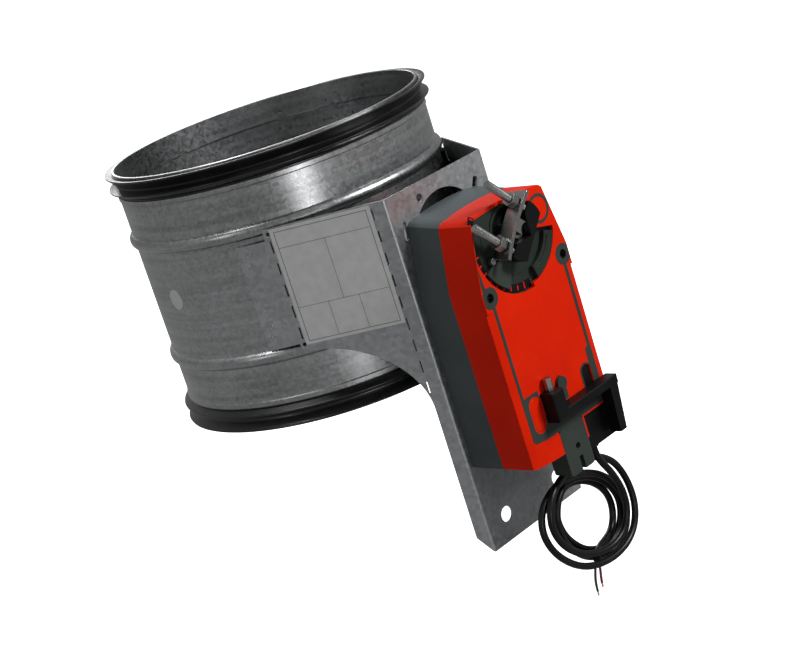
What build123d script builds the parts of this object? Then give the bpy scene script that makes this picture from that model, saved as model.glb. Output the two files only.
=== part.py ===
from build123d import *
import os
from math import acos, atan2, cos, hypot, pi, radians, sin, sqrt, tan

os.makedirs("parts", exist_ok=True)

# Motorised round duct damper, millimetres. The origin is the middle of the upper duct end,
# +Z points out of that end along the duct, and +X points along the shaft to the drive.

# Duct tube
duct_radius = 124.6
duct_wall = 0.8
duct_length = 207.0
shaft_z = -duct_length / 2
bead_height = 3.5
bead_width = 10.0
bead_spacing = 96.0
rim_radius = duct_radius - 2.5
rim_edge_radius = duct_radius - 0.2
rim_height = 2.2
seat_radius = duct_radius - 1.7
seat_length = 16.3
step_radius = duct_radius + duct_wall
step_length = 3.9
seam_start = 2.0
seam_end = 8.0

# Rubber lip seals on both spigots
lip_reach = 5.6
seal_edge_radius = duct_radius + lip_reach
seal_fit = 0.05
seal_gap = 0.05
lip_edge = 1.6
first_lip_edge_z = 1.2
first_lip_root = (2.6, 8.5)
second_lip_edge_z = 12.6
second_lip_root = (10.0, 17.5)

# Shaft and its bushes
shaft_radius = 6.0
shaft_fit = 0.05
shaft_back_x = -duct_radius - 6.4
bush_radius = 9.95
bush_hole_radius = 10.0
bush_inner_x = duct_radius - 1.4
bush_flange_radius = 15.0
bush_flange_thickness = 3.0
shaft_seal_radius = 9.0
shaft_seal_thickness = 2.0
circlip_x = -duct_radius - 5.0
circlip_thickness = 1.0
circlip_radius = 8.5
circlip_groove_radius = 5.4
cap_radius = 12.0
cap_wall = 1.5
cap_depth = 6.3

# Blade
disc_radius = duct_radius - 5.6
disc_thickness = 1.0
disc_gap = 2.0
channel_clearance = 0.03
blade_clearance = 0.4
blade_seal_radius = duct_radius - duct_wall - blade_clearance
blade_seal_inner_radius = disc_radius - 14.0
blade_bead_width = 4.1
blade_bead_height = 4.0
blade_notch_half_width = 11.5
blade_notch_x = duct_radius - 4.1
rivet_count = 12
rivet_circle_radius = disc_radius - 7.0
rivet_radius = 2.0
rivet_head_radius = 3.5
rivet_head_height = 1.0
blade_bolt_x = 60.0
blade_bolt_radius = 2.5
blade_bolt_head_radius = 4.4
blade_bolt_head_height = 3.0
blade_nut_flats = 8.0
blade_nut_height = 4.0

# Console, one folded sheet
sheet = 1.5
plate_x = 163.8
plate_half_width = 53.7
shaft_front_x = plate_x + 65.2
console_top_z = shaft_z + 47.8
console_bottom_z = shaft_z - 232.3
fold_azimuth = 50.7
fold_clearance = 3.8
tab_length = 26.0
tab_top_z = shaft_z + 39.0
tab_bottom_z = shaft_z - 41.5
tab_weld_gap = 0.05
sheet_bend = 1.6
plate_hole_radius = 36.0
console_hole_radius = 6.0
console_hole_spacing = 62.0
console_hole_z = shaft_z - 212.0
relief_radius = 1.5
relief_inset = 1.2
relief_drop = 4.0
cut_margin = 5.0
free_hole_place = (-20.0, 37.0)
free_hole_radius = 3.0
right_slot_place = (38.5, 27.0)
right_slot_size = (10.0, 5.0)
right_slot_tilt = 60.0
left_slot_place = (-42.5, 20.0)
left_slot_size = (14.0, 3.0)
left_slot_tilt = 80.0
slot_width = 1.2
slot_height = 9.3
slot_pitch = 16.85
front_slots = 9
front_slot_distance = 11.0
front_slot_top_z = shaft_z + 44.0
rear_slots = 5
rear_slot_inset = 2.5
rear_slot_top_z = shaft_z + 38.3
flange_edge = ((1.0, -48.5), (0.7074, -52.0), (0.4149, -65.3), (0.1702, -91.2), (0.1138, -114.0))
flange_foot_inset = 0.3
flange_foot_height = 13.8

# Label and sticker
label_thickness = 0.2
label_rear_distance = 4.0
label_height = 90.0
label_front_distance = 12.0
label_top_z = shaft_z + 46.7
sticker_radius = 8.0
sticker_azimuth = -97.0
sticker_z = shaft_z + 5.5

# Drive casing: levels along the shaft
casing_gap = 0.05
seam_x = plate_x + 30.2
face_x = plate_x + 61.4
casing_wall = 2.5
pan_floor_x = plate_x + 57.4
pan_thickness = 2.7
frame_depth = 1.3
frame_rise = 0.2

# Drive casing: outline across the shaft, seen from the front
casing_half_width = 49.0
casing_bottom = -168.0
side_bottom = -164.5
taper_start = -28.0
shoulder = (40.0, 19.0)
crown_edge = (37.0, 21.4)
crown_top = 24.2
rear_flare = 3.3
bevel_width = 6.0
bevel_depth = 1.7
bevel_top = -43.0

# Fixings of the casing
lug_place = (41.9, -34.0)
lug_radius = 8.0
lug_hole_radius = 3.5
lug_boss_radius = 5.2
lug_seat_x = plate_x + 55.2
lug_post_radius = 5.0
lug_screw_radius = 1.9
lug_head_height = 2.6
lug_screw_back_x = plate_x + 12.2
fixing_places = ((-34.0, -62.0), (34.0, -62.0), (-34.0, -150.0), (34.0, -150.0))
fixing_radius = 2.0
screw_clearance = 0.3
fixing_boss_radius = 5.0
fixing_length = 12.0
fixing_head_radius = 4.5
fixing_head_height = 2.5

# Recess with the dial
recess_radius = 44.3
recess_start = 95.0
recess_end = 276.0
stop_recess_radius = 41.5
stop_recess_end = 345.0
recess_rim = 1.0
sector_core = 1.0
pan_margin = 1.6
pan_start = 60.0
pan_link_radius = 4.0
dial_inner_radius = 37.5
dial_outer_radius = 43.4
dial_start = 145.0
dial_end = 277.0
dial_thickness = 0.4
pan_ring_radius = 31.0
pan_ring_rise = 0.4
pan_ring_start = 150.0

# Face details
disc_place = (31.0, 5.5)
face_disc_radius = 8.5
face_ring_radius = 11.0
strip_place = 41.0
strip_width = 3.0
strip_top = -41.0
strip_bottom = -140.0
frame_inset = 0.6
frame_corner_points = ((-41.0, 6.0), (-42.2, 6.0), (-47.2, -21.0), (-47.2, -30.0), (-43.6, -30.0), (-45.0, -11.0))
frame_field_points = (
    (-42.5, -113.0),
    (-24.0, -113.0),
    (-24.0, -134.0),
    (36.0, -134.0),
    (36.0, -107.0),
    (42.5, -103.0),
    (42.5, -150.0),
    (-15.0, -150.0),
    (-28.0, -149.7),
    (-40.5, -148.0),
    (-42.5, -145.5),
)
plug_place = (30.6, -129.5)
plug_rim_width = 13.0
plug_rim_height = 28.0
plug_width = 10.0
plug_height = 25.0
plug_sink = 1.3
tongue_left = -15.0
tongue_right = 12.8
tongue_top = -150.0
tongue_bottom = -187.0
tongue_back_x = plate_x + 45.2
tongue_hole_radius = 2.5
tongue_hole_z = -168.0
tongue_slot_width = 4.0
tongue_slot_top = -176.0
tongue_corner = 3.0
notch_gap = 0.1
rib_width = 1.4
rib_back_x = plate_x + 32.2
terminal_back_x = plate_x + 38.7
terminal_front_x = plate_x + 60.2
terminal_right = 48.0
terminal_bottom = -178.0
terminal_corner = 2.0
gland_socket_depth = 8.0

# Hub and the inside of the drive
hub_back_x = plate_x - 3.8
hub_shank_radius = 14.0
hub_front_radius = 21.2
hub_gap = 0.3
hub_step_x = plate_x + 42.2
hub_face_x = plate_x + 58.2
hub_pocket_radius = 18.8
hub_pocket_x = plate_x + 48.2
serration_count = 40
serration_radius = 0.55
bearing_fit = 0.05
bearing_wall = 1.95
gear_plate_x = plate_x + 36.7
gear_plate_thickness = 2.0
gear_plate_half_width = 36.0
gear_plate_bottom = -100.0
gear_plate_top = 18.0
gear_plate_corner = 6.0
gear_plate_gap = 1.0
pillar_places = ((-31.0, 12.0), (31.0, 12.0), (-26.0, -94.0), (26.0, -94.0))
pillar_radius = 3.5
pillar_screw_radius = 1.4
pillar_hole_depth = 8.0
pillar_screw_depth = 7.0
pillar_head_height = 1.8
axle_radius = 2.0
gear_fit = 0.05

# Gear train: module, teeth and levels along the shaft
gear_module = 1.0
pressure_angle = radians(20.0)
gear_backlash = 0.2
wheel_addendum = 0.65
pinion_addendum = 0.9
dedendum = 1.25
output_teeth = 64
blade_travel = 90.0
output_spare_teeth = 4
second_pinion_teeth = 16
second_wheel_teeth = 36
first_pinion_teeth = 12
first_wheel_teeth = 30
motor_teeth = 10
output_level = (plate_x + 16.2, plate_x + 24.2)
second_level = (plate_x + 26.2, plate_x + 30.2)
first_level = (plate_x + 32.2, plate_x + 35.2)
gear_sleeve = 4.0
motor_radius = 12.0
motor_front_x = plate_x + 30.7
rotor_radius = 1.5
rotor_back_x = plate_x + 24.2
spring_gap = 0.3
spring_half_turns = 10
spring_half_pitch = 0.62
spring_strip = 0.5
spring_level = (plate_x + 4.2, plate_x + 14.2)
board_x = plate_x + 4.6
board_thickness = 1.6
board_z = -130.0
board_size = (56.0, 34.0)
board_foot_radius = 1.8
board_places = ((-20.0, -136.0, 6.0, 12.0), (-8.0, -122.0, 5.0, 9.0), (10.0, -128.0, 7.0, 4.0))

# Shaft clamp, seen from the front it runs from the upper left to the lower right
clamp_angle = -45.0
saddle_back_x = plate_x + 61.9
saddle_front_x = plate_x + 74.2
saddle_half_length = 26.5
saddle_thickness = 3.0
saddle_bow = 2.5
saddle_end = -7.5
saddle_boss_half_width = 5.0
block_radius = 22.0
block_rear_radius = 18.3
block_start = -3.0
block_end = 11.5
block_front_x = plate_x + 71.0
block_back_x = plate_x + 50.2
stud_x = plate_x + 67.0
stud_radius = 3.0
stud_spacing = 33.4
stud_start = -43.0
stud_end = 10.0
clamp_nut_flats = 10.0
clamp_nut_height = 6.0
pointer_inner_radius = 19.8
pointer_outer_radius = 41.0
pointer_start = 211.0
pointer_end = 243.0
pointer_head_start = 207.0
pointer_head_radius = 30.5
pointer_boss_radius = 3.2
pointer_thickness = 2.7
pointer_screw_place = (30.5, 203.0)
pointer_screw_radius = 2.4
hub_clip_radii = (16.5, 21.0)
hub_clip_angles = (-24.0, -4.0)
hub_clip_height = 2.6

# End stop on the dial
stop_inner_radius = 31.3
stop_outer_radius = 41.0
stop_start = -75.0
stop_end = -20.0
stop_back_x = plate_x + 58.1
stop_front_x = plate_x + 61.7
stop_slot_radius = 33.0
stop_slot_width = 1.6

# Lock lever and crank
lever_place = (0.5, -118.0)
lever_radius = 5.0
lever_hole_radius = 5.3
lever_back_x = plate_x + 55.2
lever_disc_x = plate_x + 62.1
lever_tab_width = 5.0
lever_tab_length = 12.6
lever_front_x = plate_x + 64.2
crank_back_x = plate_x + 62.7
crank_front_x = plate_x + 73.7
crank_foot_x = plate_x + 61.7
crank_arm = (-23.0, 48.3, -139.0, -132.0)
crank_hub = (-23.0, -10.0, -139.0, -116.5)
grip_bottom = -174.0
grip_front_x = plate_x + 72.7
grip_inner_y = 38.8
grip_slant = 4.6
hexagon_flats = 6.0
hexagon_place = (plate_x + 65.4, -15.5)
hexagon_top = -107.0
hexagon_bottom = -130.0

# Cable
cable_radius = 2.75
gland_radius = 4.5
gland_height = 6.0
gland_chamfer = 0.8
gland_place = (plate_x + 47.2, 30.0)
coil_back_x = 196.0
coil_front_x = 216.0
coil_place = (11.5, -333.8)
coil_radii = (55.9, 41.0)
coil_tilt = -10.6
coil_hole_radii = (26.4, 20.0)
coil_hole_tilt = -62.7
coil_seat_z = -299.0
coil_seat_width = 9.0
wire_seat_z = -372.0
wire_seat_place = 2.5
wire_radius = 1.0
black_wire_points = [(204.5, 0.4, -372.4), (204.5, -3.2, -384), (204.5, -3.6, -397.5)]
red_wire_points = [(207.5, 4.4, -372.4), (207.5, 1.4, -381), (207.5, 0.2, -391.8)]

# Places worked out from the sizes above
casing_back_x = plate_x + casing_gap
back_wall_x = casing_back_x + casing_wall
inner_face_x = face_x - casing_wall
frame_top_x = face_x + frame_rise
frame_back_x = face_x - frame_depth
bead_top_z = shaft_z + bead_spacing / 2
output_radius = gear_module * output_teeth / 2
second_place = -(output_radius + gear_module * second_pinion_teeth / 2)
first_place = second_place - gear_module * (second_wheel_teeth + first_pinion_teeth) / 2
motor_place = first_place - gear_module * (first_wheel_teeth + motor_teeth) / 2
terminal_left = tongue_right + 2 * notch_gap + rib_width + notch_gap
terminal_top = tongue_top - rib_width - notch_gap
gland_z = shaft_z + terminal_bottom


def across(x):
    """Plane across the shaft: local x is +Y, local y is +Z, and the shaft is its origin."""
    return Plane(origin=(x, 0, shaft_z), x_dir=(0, 1, 0), z_dir=(1, 0, 0))


def clamp_face(x):
    """The same plane turned so that local x runs along the clamp studs."""
    turn = radians(clamp_angle)
    return Plane(origin=(x, 0, shaft_z), x_dir=(0, cos(turn), sin(turn)), z_dir=(1, 0, 0))


def clamp_section(distance):
    """Plane square to the clamp studs: local y is +X and its origin lies on the stud line."""
    turn = radians(clamp_angle)
    return Plane(
        origin=(stud_x, distance * cos(turn), shaft_z + distance * sin(turn)),
        x_dir=(0, -sin(turn), cos(turn)),
        z_dir=(0, cos(turn), sin(turn)),
    )


def ring_sector(inner, outer, start, end, mode=Mode.ADD):
    """Adds a sector of a ring to the sketch that is being drawn."""
    with BuildLine() as edge:
        outside = CenterArc((0, 0), outer, start, end - start)
        inside = CenterArc((0, 0), inner, start, end - start)
        Line(inside @ 0, outside @ 0)
        Line(inside @ 1, outside @ 1)
    make_face(edge.edges(), mode=mode)


def casing_outline(x, inset=0.0, flare=0.0):
    """Outline of the casing on a plane across the shaft."""
    half = casing_half_width - inset
    low = side_bottom + inset
    side = (shoulder[0] - inset, shoulder[1] + flare)
    edge = (crown_edge[0] - inset, crown_edge[1] + flare - inset / 2)
    top = crown_top + flare - inset
    with BuildSketch(across(x)) as outline:
        with BuildLine():
            ThreePointArc((-half, low), (0, casing_bottom + inset), (half, low))
            Polyline((half, low), (half, taper_start), side, edge)
            ThreePointArc(edge, (0, top), (-edge[0], edge[1]))
            Polyline((-edge[0], edge[1]), (-side[0], side[1]), (-half, taper_start), (-half, low))
        make_face()
    return outline.sketch


def recess_outline(x):
    """Opening of the recess in the front face, with a thin rim left at the casing's left side."""
    rim = casing_half_width - recess_rim
    with BuildSketch(across(x)) as outline:
        Circle(hub_front_radius + hub_gap)
        ring_sector(sector_core, recess_radius, recess_start, recess_end)
        ring_sector(sector_core, stop_recess_radius, recess_end, stop_recess_end)
        with BuildLine() as kept:
            Polyline(
                (rim, side_bottom),
                (rim, recess_radius),
                (recess_rim - casing_half_width, 1.5 * recess_radius),
                (recess_rim - shoulder[0], shoulder[1]),
                (-rim, taper_start),
                (-rim, side_bottom),
                close=True,
            )
        make_face(kept.edges(), mode=Mode.INTERSECT)
    return outline.sketch


def pill(width, height):
    """Adds an upright slot to the sketch that is being drawn."""
    SlotOverall(height, width, rotation=90)


def involute(radius, base):
    angle = acos(min(1.0, base / radius))
    return tan(angle) - angle


def half_tooth(radius, teeth):
    """Half of a tooth's width at a radius, as an angle from the gear's centre."""
    pitch = gear_module * teeth / 2
    base = pitch * cos(pressure_angle)
    at_pitch = (pi * gear_module - gear_backlash) / 4 / pitch
    return at_pitch + involute(pitch, base) - involute(max(radius, base), base)


def tooth_points(teeth, addendum, angle):
    """One tooth from root to tip and back; the angle is that of its middle, in radians."""
    pitch = gear_module * teeth / 2
    root = pitch - dedendum * gear_module
    tip = pitch + addendum * gear_module
    radii = [root, max(root + 0.1, pitch * cos(pressure_angle)), pitch, (pitch + tip) / 2, tip]
    rising = [(r, angle - half_tooth(r, teeth)) for r in radii]
    falling = [(r, angle + half_tooth(r, teeth)) for r in reversed(radii)]
    return [(r * cos(a), r * sin(a)) for r, a in rising + falling]


def gear(teeth, addendum, middle, first=0, count=None):
    """Adds a gear to the sketch that is being drawn; a tooth stands at the middle angle."""
    points = []
    for number in range(first, first + (count or teeth)):
        points += tooth_points(teeth, addendum, radians(middle + number * 360 / teeth))
    if count:
        points.append((0, 0))
    with BuildLine() as edge:
        Polyline(*points, close=True)
    make_face(edge.edges())


# Duct tube: half of its wall, turned and mirrored about the middle
with BuildPart() as duct_shell:
    with BuildSketch(Plane.XZ) as wall_section:
        inner_radius = duct_radius - duct_wall
        seat_end = -rim_height - seat_length
        step_end = seat_end - step_length
        with BuildLine():
            Polyline(
                (inner_radius, shaft_z),
                (duct_radius, shaft_z),
                (duct_radius, bead_top_z - bead_width / 2),
            )
            ThreePointArc(
                (duct_radius, bead_top_z - bead_width / 2),
                (duct_radius + bead_height, bead_top_z),
                (duct_radius, bead_top_z + bead_width / 2),
            )
            Polyline(
                (duct_radius, bead_top_z + bead_width / 2),
                (duct_radius, step_end),
                (step_radius, step_end),
                (step_radius, seat_end),
                (seat_radius, seat_end),
                (seat_radius, -rim_height),
                (rim_edge_radius, -rim_height),
                (rim_edge_radius, 0),
                (rim_radius, 0),
                (rim_radius, seat_end - duct_wall),
                (inner_radius, seat_end - duct_wall - 1.7),
                (inner_radius, bead_top_z + bead_width / 2 - duct_wall),
            )
            ThreePointArc(
                (inner_radius, bead_top_z + bead_width / 2 - duct_wall),
                (inner_radius + bead_height, bead_top_z),
                (inner_radius, bead_top_z - bead_width / 2 + duct_wall),
            )
            Line((inner_radius, bead_top_z - bead_width / 2 + duct_wall), (inner_radius, shaft_z))
        make_face()
    revolve(axis=Axis.Z)
    with BuildSketch(Plane.XY.offset(step_end)) as seam_band:
        ring_sector(duct_radius - duct_wall / 2, duct_radius + duct_wall, seam_start, seam_end)
    extrude(amount=bead_top_z + bead_width / 2 + 1.0 - step_end)
    mirror(about=Plane.XY.offset(shaft_z))
    with BuildSketch(across(0)) as shaft_holes:
        Circle(bush_hole_radius)
    extrude(amount=duct_radius + bead_height, both=True, mode=Mode.SUBTRACT)
duct_shell.part.label = "duct_shell"
export_step(duct_shell.part, "parts/duct_shell.step")

# Lip seal of the upper spigot
with BuildPart() as upper_seal:
    with BuildSketch(Plane.XZ) as seal_section:
        seal_inner = seat_radius + seal_fit
        seal_root = rim_edge_radius
        seal_top = -rim_height - seal_gap
        seal_bottom = seat_end + seal_gap
        with BuildLine():
            Polyline(
                (seal_inner, seal_top),
                (seal_root, seal_top),
                (seal_root, -first_lip_root[0]),
                (seal_edge_radius, -first_lip_edge_z),
                (seal_edge_radius, -first_lip_edge_z - lip_edge),
                (seal_root, -first_lip_root[1]),
                (seal_root, -second_lip_root[0]),
                (seal_edge_radius, -second_lip_edge_z),
                (seal_edge_radius, -second_lip_edge_z - lip_edge),
                (seal_root, -second_lip_root[1]),
                (seal_root, seal_bottom),
                (seal_inner, seal_bottom),
                close=True,
            )
        make_face()
    revolve(axis=Axis.Z)
upper_seal.part.label = "upper_seal"
export_step(upper_seal.part, "parts/upper_seal.step")

# The lower seal is its mirror image
with BuildPart() as lower_seal:
    mirror(upper_seal.part, about=Plane.XY.offset(shaft_z))
lower_seal.part.label = "lower_seal"
export_step(lower_seal.part, "parts/lower_seal.step")

# Bush on the drive's side
with BuildPart() as drive_bush:
    bush_seat_x = duct_radius + 0.1
    with BuildSketch(across(bush_inner_x)) as sleeve:
        Circle(bush_radius)
    extrude(amount=bush_seat_x - bush_inner_x + 0.5)
    with BuildSketch(across(bush_seat_x)) as flange:
        Circle(bush_flange_radius)
    extrude(amount=bush_flange_thickness)
    with BuildSketch(across(bush_inner_x)) as bore:
        Circle(shaft_radius + shaft_fit)
    extrude(amount=duct_radius, mode=Mode.SUBTRACT)
drive_bush.part.label = "drive_bush"
export_step(drive_bush.part, "parts/drive_bush.step")

# Bush on the far side, the same piece turned round
with BuildPart() as idle_bush:
    mirror(drive_bush.part, about=Plane.YZ)
idle_bush.part.label = "idle_bush"
export_step(idle_bush.part, "parts/idle_bush.step")

# Seal ring in front of the drive's bush
bush_face_x = bush_seat_x + bush_flange_thickness
with BuildPart() as shaft_seal:
    with BuildSketch(across(bush_face_x)) as ring:
        Circle(shaft_seal_radius)
        Circle(shaft_radius + shaft_fit, mode=Mode.SUBTRACT)
    extrude(amount=shaft_seal_thickness)
shaft_seal.part.label = "shaft_seal"
export_step(shaft_seal.part, "parts/shaft_seal.step")

# Cap over the shaft's far end
with BuildPart() as idle_cap:
    with BuildSketch(across(-bush_face_x)) as cap_outline:
        Circle(cap_radius)
    extrude(amount=-cap_depth)
    with BuildSketch(across(-bush_face_x)) as cap_hollow:
        Circle(cap_radius - cap_wall)
    extrude(amount=cap_wall - cap_depth, mode=Mode.SUBTRACT)
    fillet(idle_cap.faces().sort_by(Axis.X)[0].edges(), radius=cap_wall / 2)
idle_cap.part.label = "idle_cap"
export_step(idle_cap.part, "parts/idle_cap.step")

# Console: the sheet's outer line in plan, from the left foot round the front to the right foot
tab_distance = duct_radius + sheet + tab_weld_gap
fold_distance = tab_distance + fold_clearance
fold_x = fold_distance * cos(radians(fold_azimuth))
fold_y = fold_distance * sin(radians(fold_azimuth))
flange_length = hypot(plate_x - fold_x, fold_y - plate_half_width)
flange_turn = atan2(fold_y - plate_half_width, plate_x - fold_x)
rear_slot_distance = flange_length - rear_slot_inset
label_width = flange_length - label_front_distance - label_rear_distance
tab_turn = radians(fold_azimuth) + acos(tab_distance / fold_distance)
tab_end_x = fold_x - tab_length * sin(tab_turn)
tab_end_y = fold_y + tab_length * cos(tab_turn)


def flange_plane(side):
    """Plane on a flange's outer face: local x runs from the fold forward, local y is +Z."""
    return Plane(
        origin=(fold_x, side * fold_y, 0),
        x_dir=(-side * cos(flange_turn), sin(flange_turn), 0),
        z_dir=(sin(flange_turn), side * cos(flange_turn), 0),
    )


with BuildPart() as console:
    with BuildSketch(Plane.XY.offset(console_bottom_z)) as sheet_plan:
        with BuildLine():
            FilletPolyline(
                (tab_end_x, -tab_end_y),
                (fold_x, -fold_y),
                (plate_x, -plate_half_width),
                (plate_x, plate_half_width),
                (fold_x, fold_y),
                (tab_end_x, tab_end_y),
                radius=sheet_bend + sheet,
            )
            offset(amount=sheet, side=Side.LEFT)
        make_face()
    extrude(amount=console_top_z - console_bottom_z)
    # each flange is cut to its outline, seen from the side
    edge_points = [(plate_x - share * (plate_x - fold_x), shaft_z + z) for share, z in flange_edge]
    foot_x = plate_x - flange_foot_inset
    far_x = fold_x - tab_length - cut_margin
    low_z = console_bottom_z - cut_margin
    for side in (-1, 1):
        cut_start = side * (plate_half_width - sheet / 2)
        cut_plane = Plane(origin=(0, cut_start, 0), x_dir=(1, 0, 0), z_dir=(0, -1, 0))
        with BuildSketch(cut_plane) as flange_cut:
            with BuildLine():
                Polyline((far_x, low_z), (far_x, tab_bottom_z), (fold_x - relief_inset, tab_bottom_z), edge_points[0])
                Spline(*edge_points)
                Polyline(
                    edge_points[-1],
                    (edge_points[-1][0], console_bottom_z + flange_foot_height),
                    (foot_x, console_bottom_z),
                    (foot_x, low_z),
                    (far_x, low_z),
                )
            make_face()
        extrude(amount=-side * fold_y, mode=Mode.SUBTRACT)
        with BuildSketch(cut_plane) as tab_cut:
            with Locations(((far_x + fold_x - relief_inset) / 2, (tab_top_z + cut_margin) / 2)):
                Rectangle(fold_x - relief_inset - far_x, cut_margin - tab_top_z)
        extrude(amount=-side * fold_y, mode=Mode.SUBTRACT)
        # relief holes at both ends of the fold, and the two rows of slots
        with BuildSketch(flange_plane(side)) as slots:
            relief_x = -side * (flange_length - rear_slot_distance)
            with Locations((relief_x, console_top_z - relief_drop), (relief_x, tab_bottom_z - relief_inset)):
                Circle(relief_radius)
            for number in range(front_slots):
                middle_z = front_slot_top_z - number * slot_pitch - slot_height / 2
                with Locations((-side * (flange_length - front_slot_distance), middle_z)):
                    Rectangle(slot_width, slot_height)
            for number in range(rear_slots):
                middle_z = rear_slot_top_z - number * slot_pitch - slot_height / 2
                with Locations((relief_x, middle_z)):
                    Rectangle(slot_width, slot_height)
        extrude(amount=2 * sheet, both=True, mode=Mode.SUBTRACT)
    # holes in the front plate
    with BuildSketch(across(plate_x - 2 * sheet)) as plate_holes:
        Circle(plate_hole_radius)
        with Locations(free_hole_place):
            Circle(free_hole_radius)
        with Locations(right_slot_place):
            SlotOverall(*right_slot_size, rotation=right_slot_tilt)
        with Locations(left_slot_place):
            SlotOverall(*left_slot_size, rotation=left_slot_tilt)
        with Locations(*fixing_places):
            Circle(fixing_radius + screw_clearance)
    extrude(amount=3 * sheet, mode=Mode.SUBTRACT)
    with BuildSketch(Plane(origin=(plate_x - 2 * sheet, 0, console_hole_z), x_dir=(0, 1, 0), z_dir=(1, 0, 0))):
        with GridLocations(console_hole_spacing, 0, 2, 1):
            Circle(console_hole_radius)
    extrude(amount=3 * sheet, mode=Mode.SUBTRACT)
console.part.label = "console"
export_step(console.part, "parts/console.step")

# Label on the left flange and round sticker on the tube
with BuildPart() as flange_label:
    with BuildSketch(flange_plane(-1)) as label_outline:
        with Locations((flange_length - label_front_distance - label_width / 2, label_top_z - label_height / 2)):
            Rectangle(label_width, label_height)
    extrude(amount=label_thickness)
flange_label.part.label = "flange_label"
export_step(flange_label.part, "parts/flange_label.step")

with BuildPart() as round_sticker:
    with BuildSketch(Plane.XY.offset(sticker_z - sticker_radius)) as sticker_plan:
        Circle(duct_radius + label_thickness)
        Circle(duct_radius, mode=Mode.SUBTRACT)
    extrude(amount=2 * sticker_radius)
    sticker_turn = radians(sticker_azimuth)
    sticker_plane = Plane(
        origin=(0, 0, sticker_z),
        x_dir=(-sin(sticker_turn), cos(sticker_turn), 0),
        z_dir=(cos(sticker_turn), sin(sticker_turn), 0),
    )
    with BuildSketch(sticker_plane) as sticker_outline:
        Circle(sticker_radius)
    extrude(amount=duct_radius + bead_height, mode=Mode.INTERSECT)
round_sticker.part.label = "round_sticker"
export_step(round_sticker.part, "parts/round_sticker.step")

# Drive casing, the two shells
base_back_face = casing_outline(casing_back_x, flare=rear_flare)
base_seam_face = casing_outline(seam_x)
base_hollow_face = casing_outline(back_wall_x, inset=casing_wall)
with BuildPart() as actuator_base:
    loft(sections=[base_back_face, base_seam_face])
    extrude(base_hollow_face, amount=seam_x - back_wall_x, mode=Mode.SUBTRACT)
    with BuildSketch(across(back_wall_x)) as fixing_posts:
        with Locations(*fixing_places):
            Circle(fixing_boss_radius)
    extrude(amount=fixing_length - casing_wall)
    with BuildSketch(across(back_wall_x)) as tall_posts:
        with Locations((-lug_place[0], lug_place[1]), lug_place):
            Circle(lug_post_radius)
    extrude(amount=seam_x - back_wall_x)
    with BuildSketch(across(back_wall_x)) as pillars:
        with Locations(*pillar_places):
            Circle(pillar_radius)
    extrude(amount=gear_plate_x - back_wall_x)
    with BuildSketch(across(casing_back_x)) as bearing_hole:
        Circle(hub_shank_radius + bearing_fit + bearing_wall)
    extrude(amount=casing_wall, mode=Mode.SUBTRACT)
    with BuildSketch(across(casing_back_x)) as fixing_holes:
        with Locations(*fixing_places):
            Circle(fixing_radius)
    extrude(amount=fixing_length - casing_wall, mode=Mode.SUBTRACT)
    with BuildSketch(across(lug_screw_back_x)) as lug_holes:
        with Locations((-lug_place[0], lug_place[1]), lug_place):
            Circle(lug_screw_radius)
    extrude(amount=seam_x - lug_screw_back_x, mode=Mode.SUBTRACT)
    with BuildSketch(across(gear_plate_x - pillar_hole_depth)) as pillar_holes:
        with Locations(*pillar_places):
            Circle(pillar_screw_radius)
    extrude(amount=pillar_hole_depth, mode=Mode.SUBTRACT)
actuator_base.part.label = "actuator_base"
export_step(actuator_base.part, "parts/actuator_base.step")


def frame_outline(x):
    """The grey frame that lies flush in the cover's face."""
    with BuildSketch(across(x)) as outline:
        for side in (-1, 1):
            with Locations((side * lug_place[0], lug_place[1])):
                Circle(lug_radius)
            with Locations((side * strip_place, (strip_top + strip_bottom) / 2)):
                Rectangle(strip_width, strip_top - strip_bottom)
        with BuildLine() as upper_left:
            Polyline(*frame_corner_points, close=True)
        make_face(upper_left.edges())
        with BuildLine() as lower_field:
            Polyline(*frame_field_points, close=True)
        make_face(lower_field.edges())
        with Locations(disc_place):
            Circle(face_ring_radius)
            Circle(face_disc_radius, mode=Mode.SUBTRACT)
        with Locations((-plug_place[0], plug_place[1]), plug_place):
            SlotOverall(plug_rim_height, plug_rim_width, rotation=90, mode=Mode.SUBTRACT)
        with Locations((-lug_place[0], lug_place[1]), lug_place):
            Circle(lug_hole_radius, mode=Mode.SUBTRACT)
    return outline.sketch & casing_outline(x, inset=frame_inset) - recess_outline(x)


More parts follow.
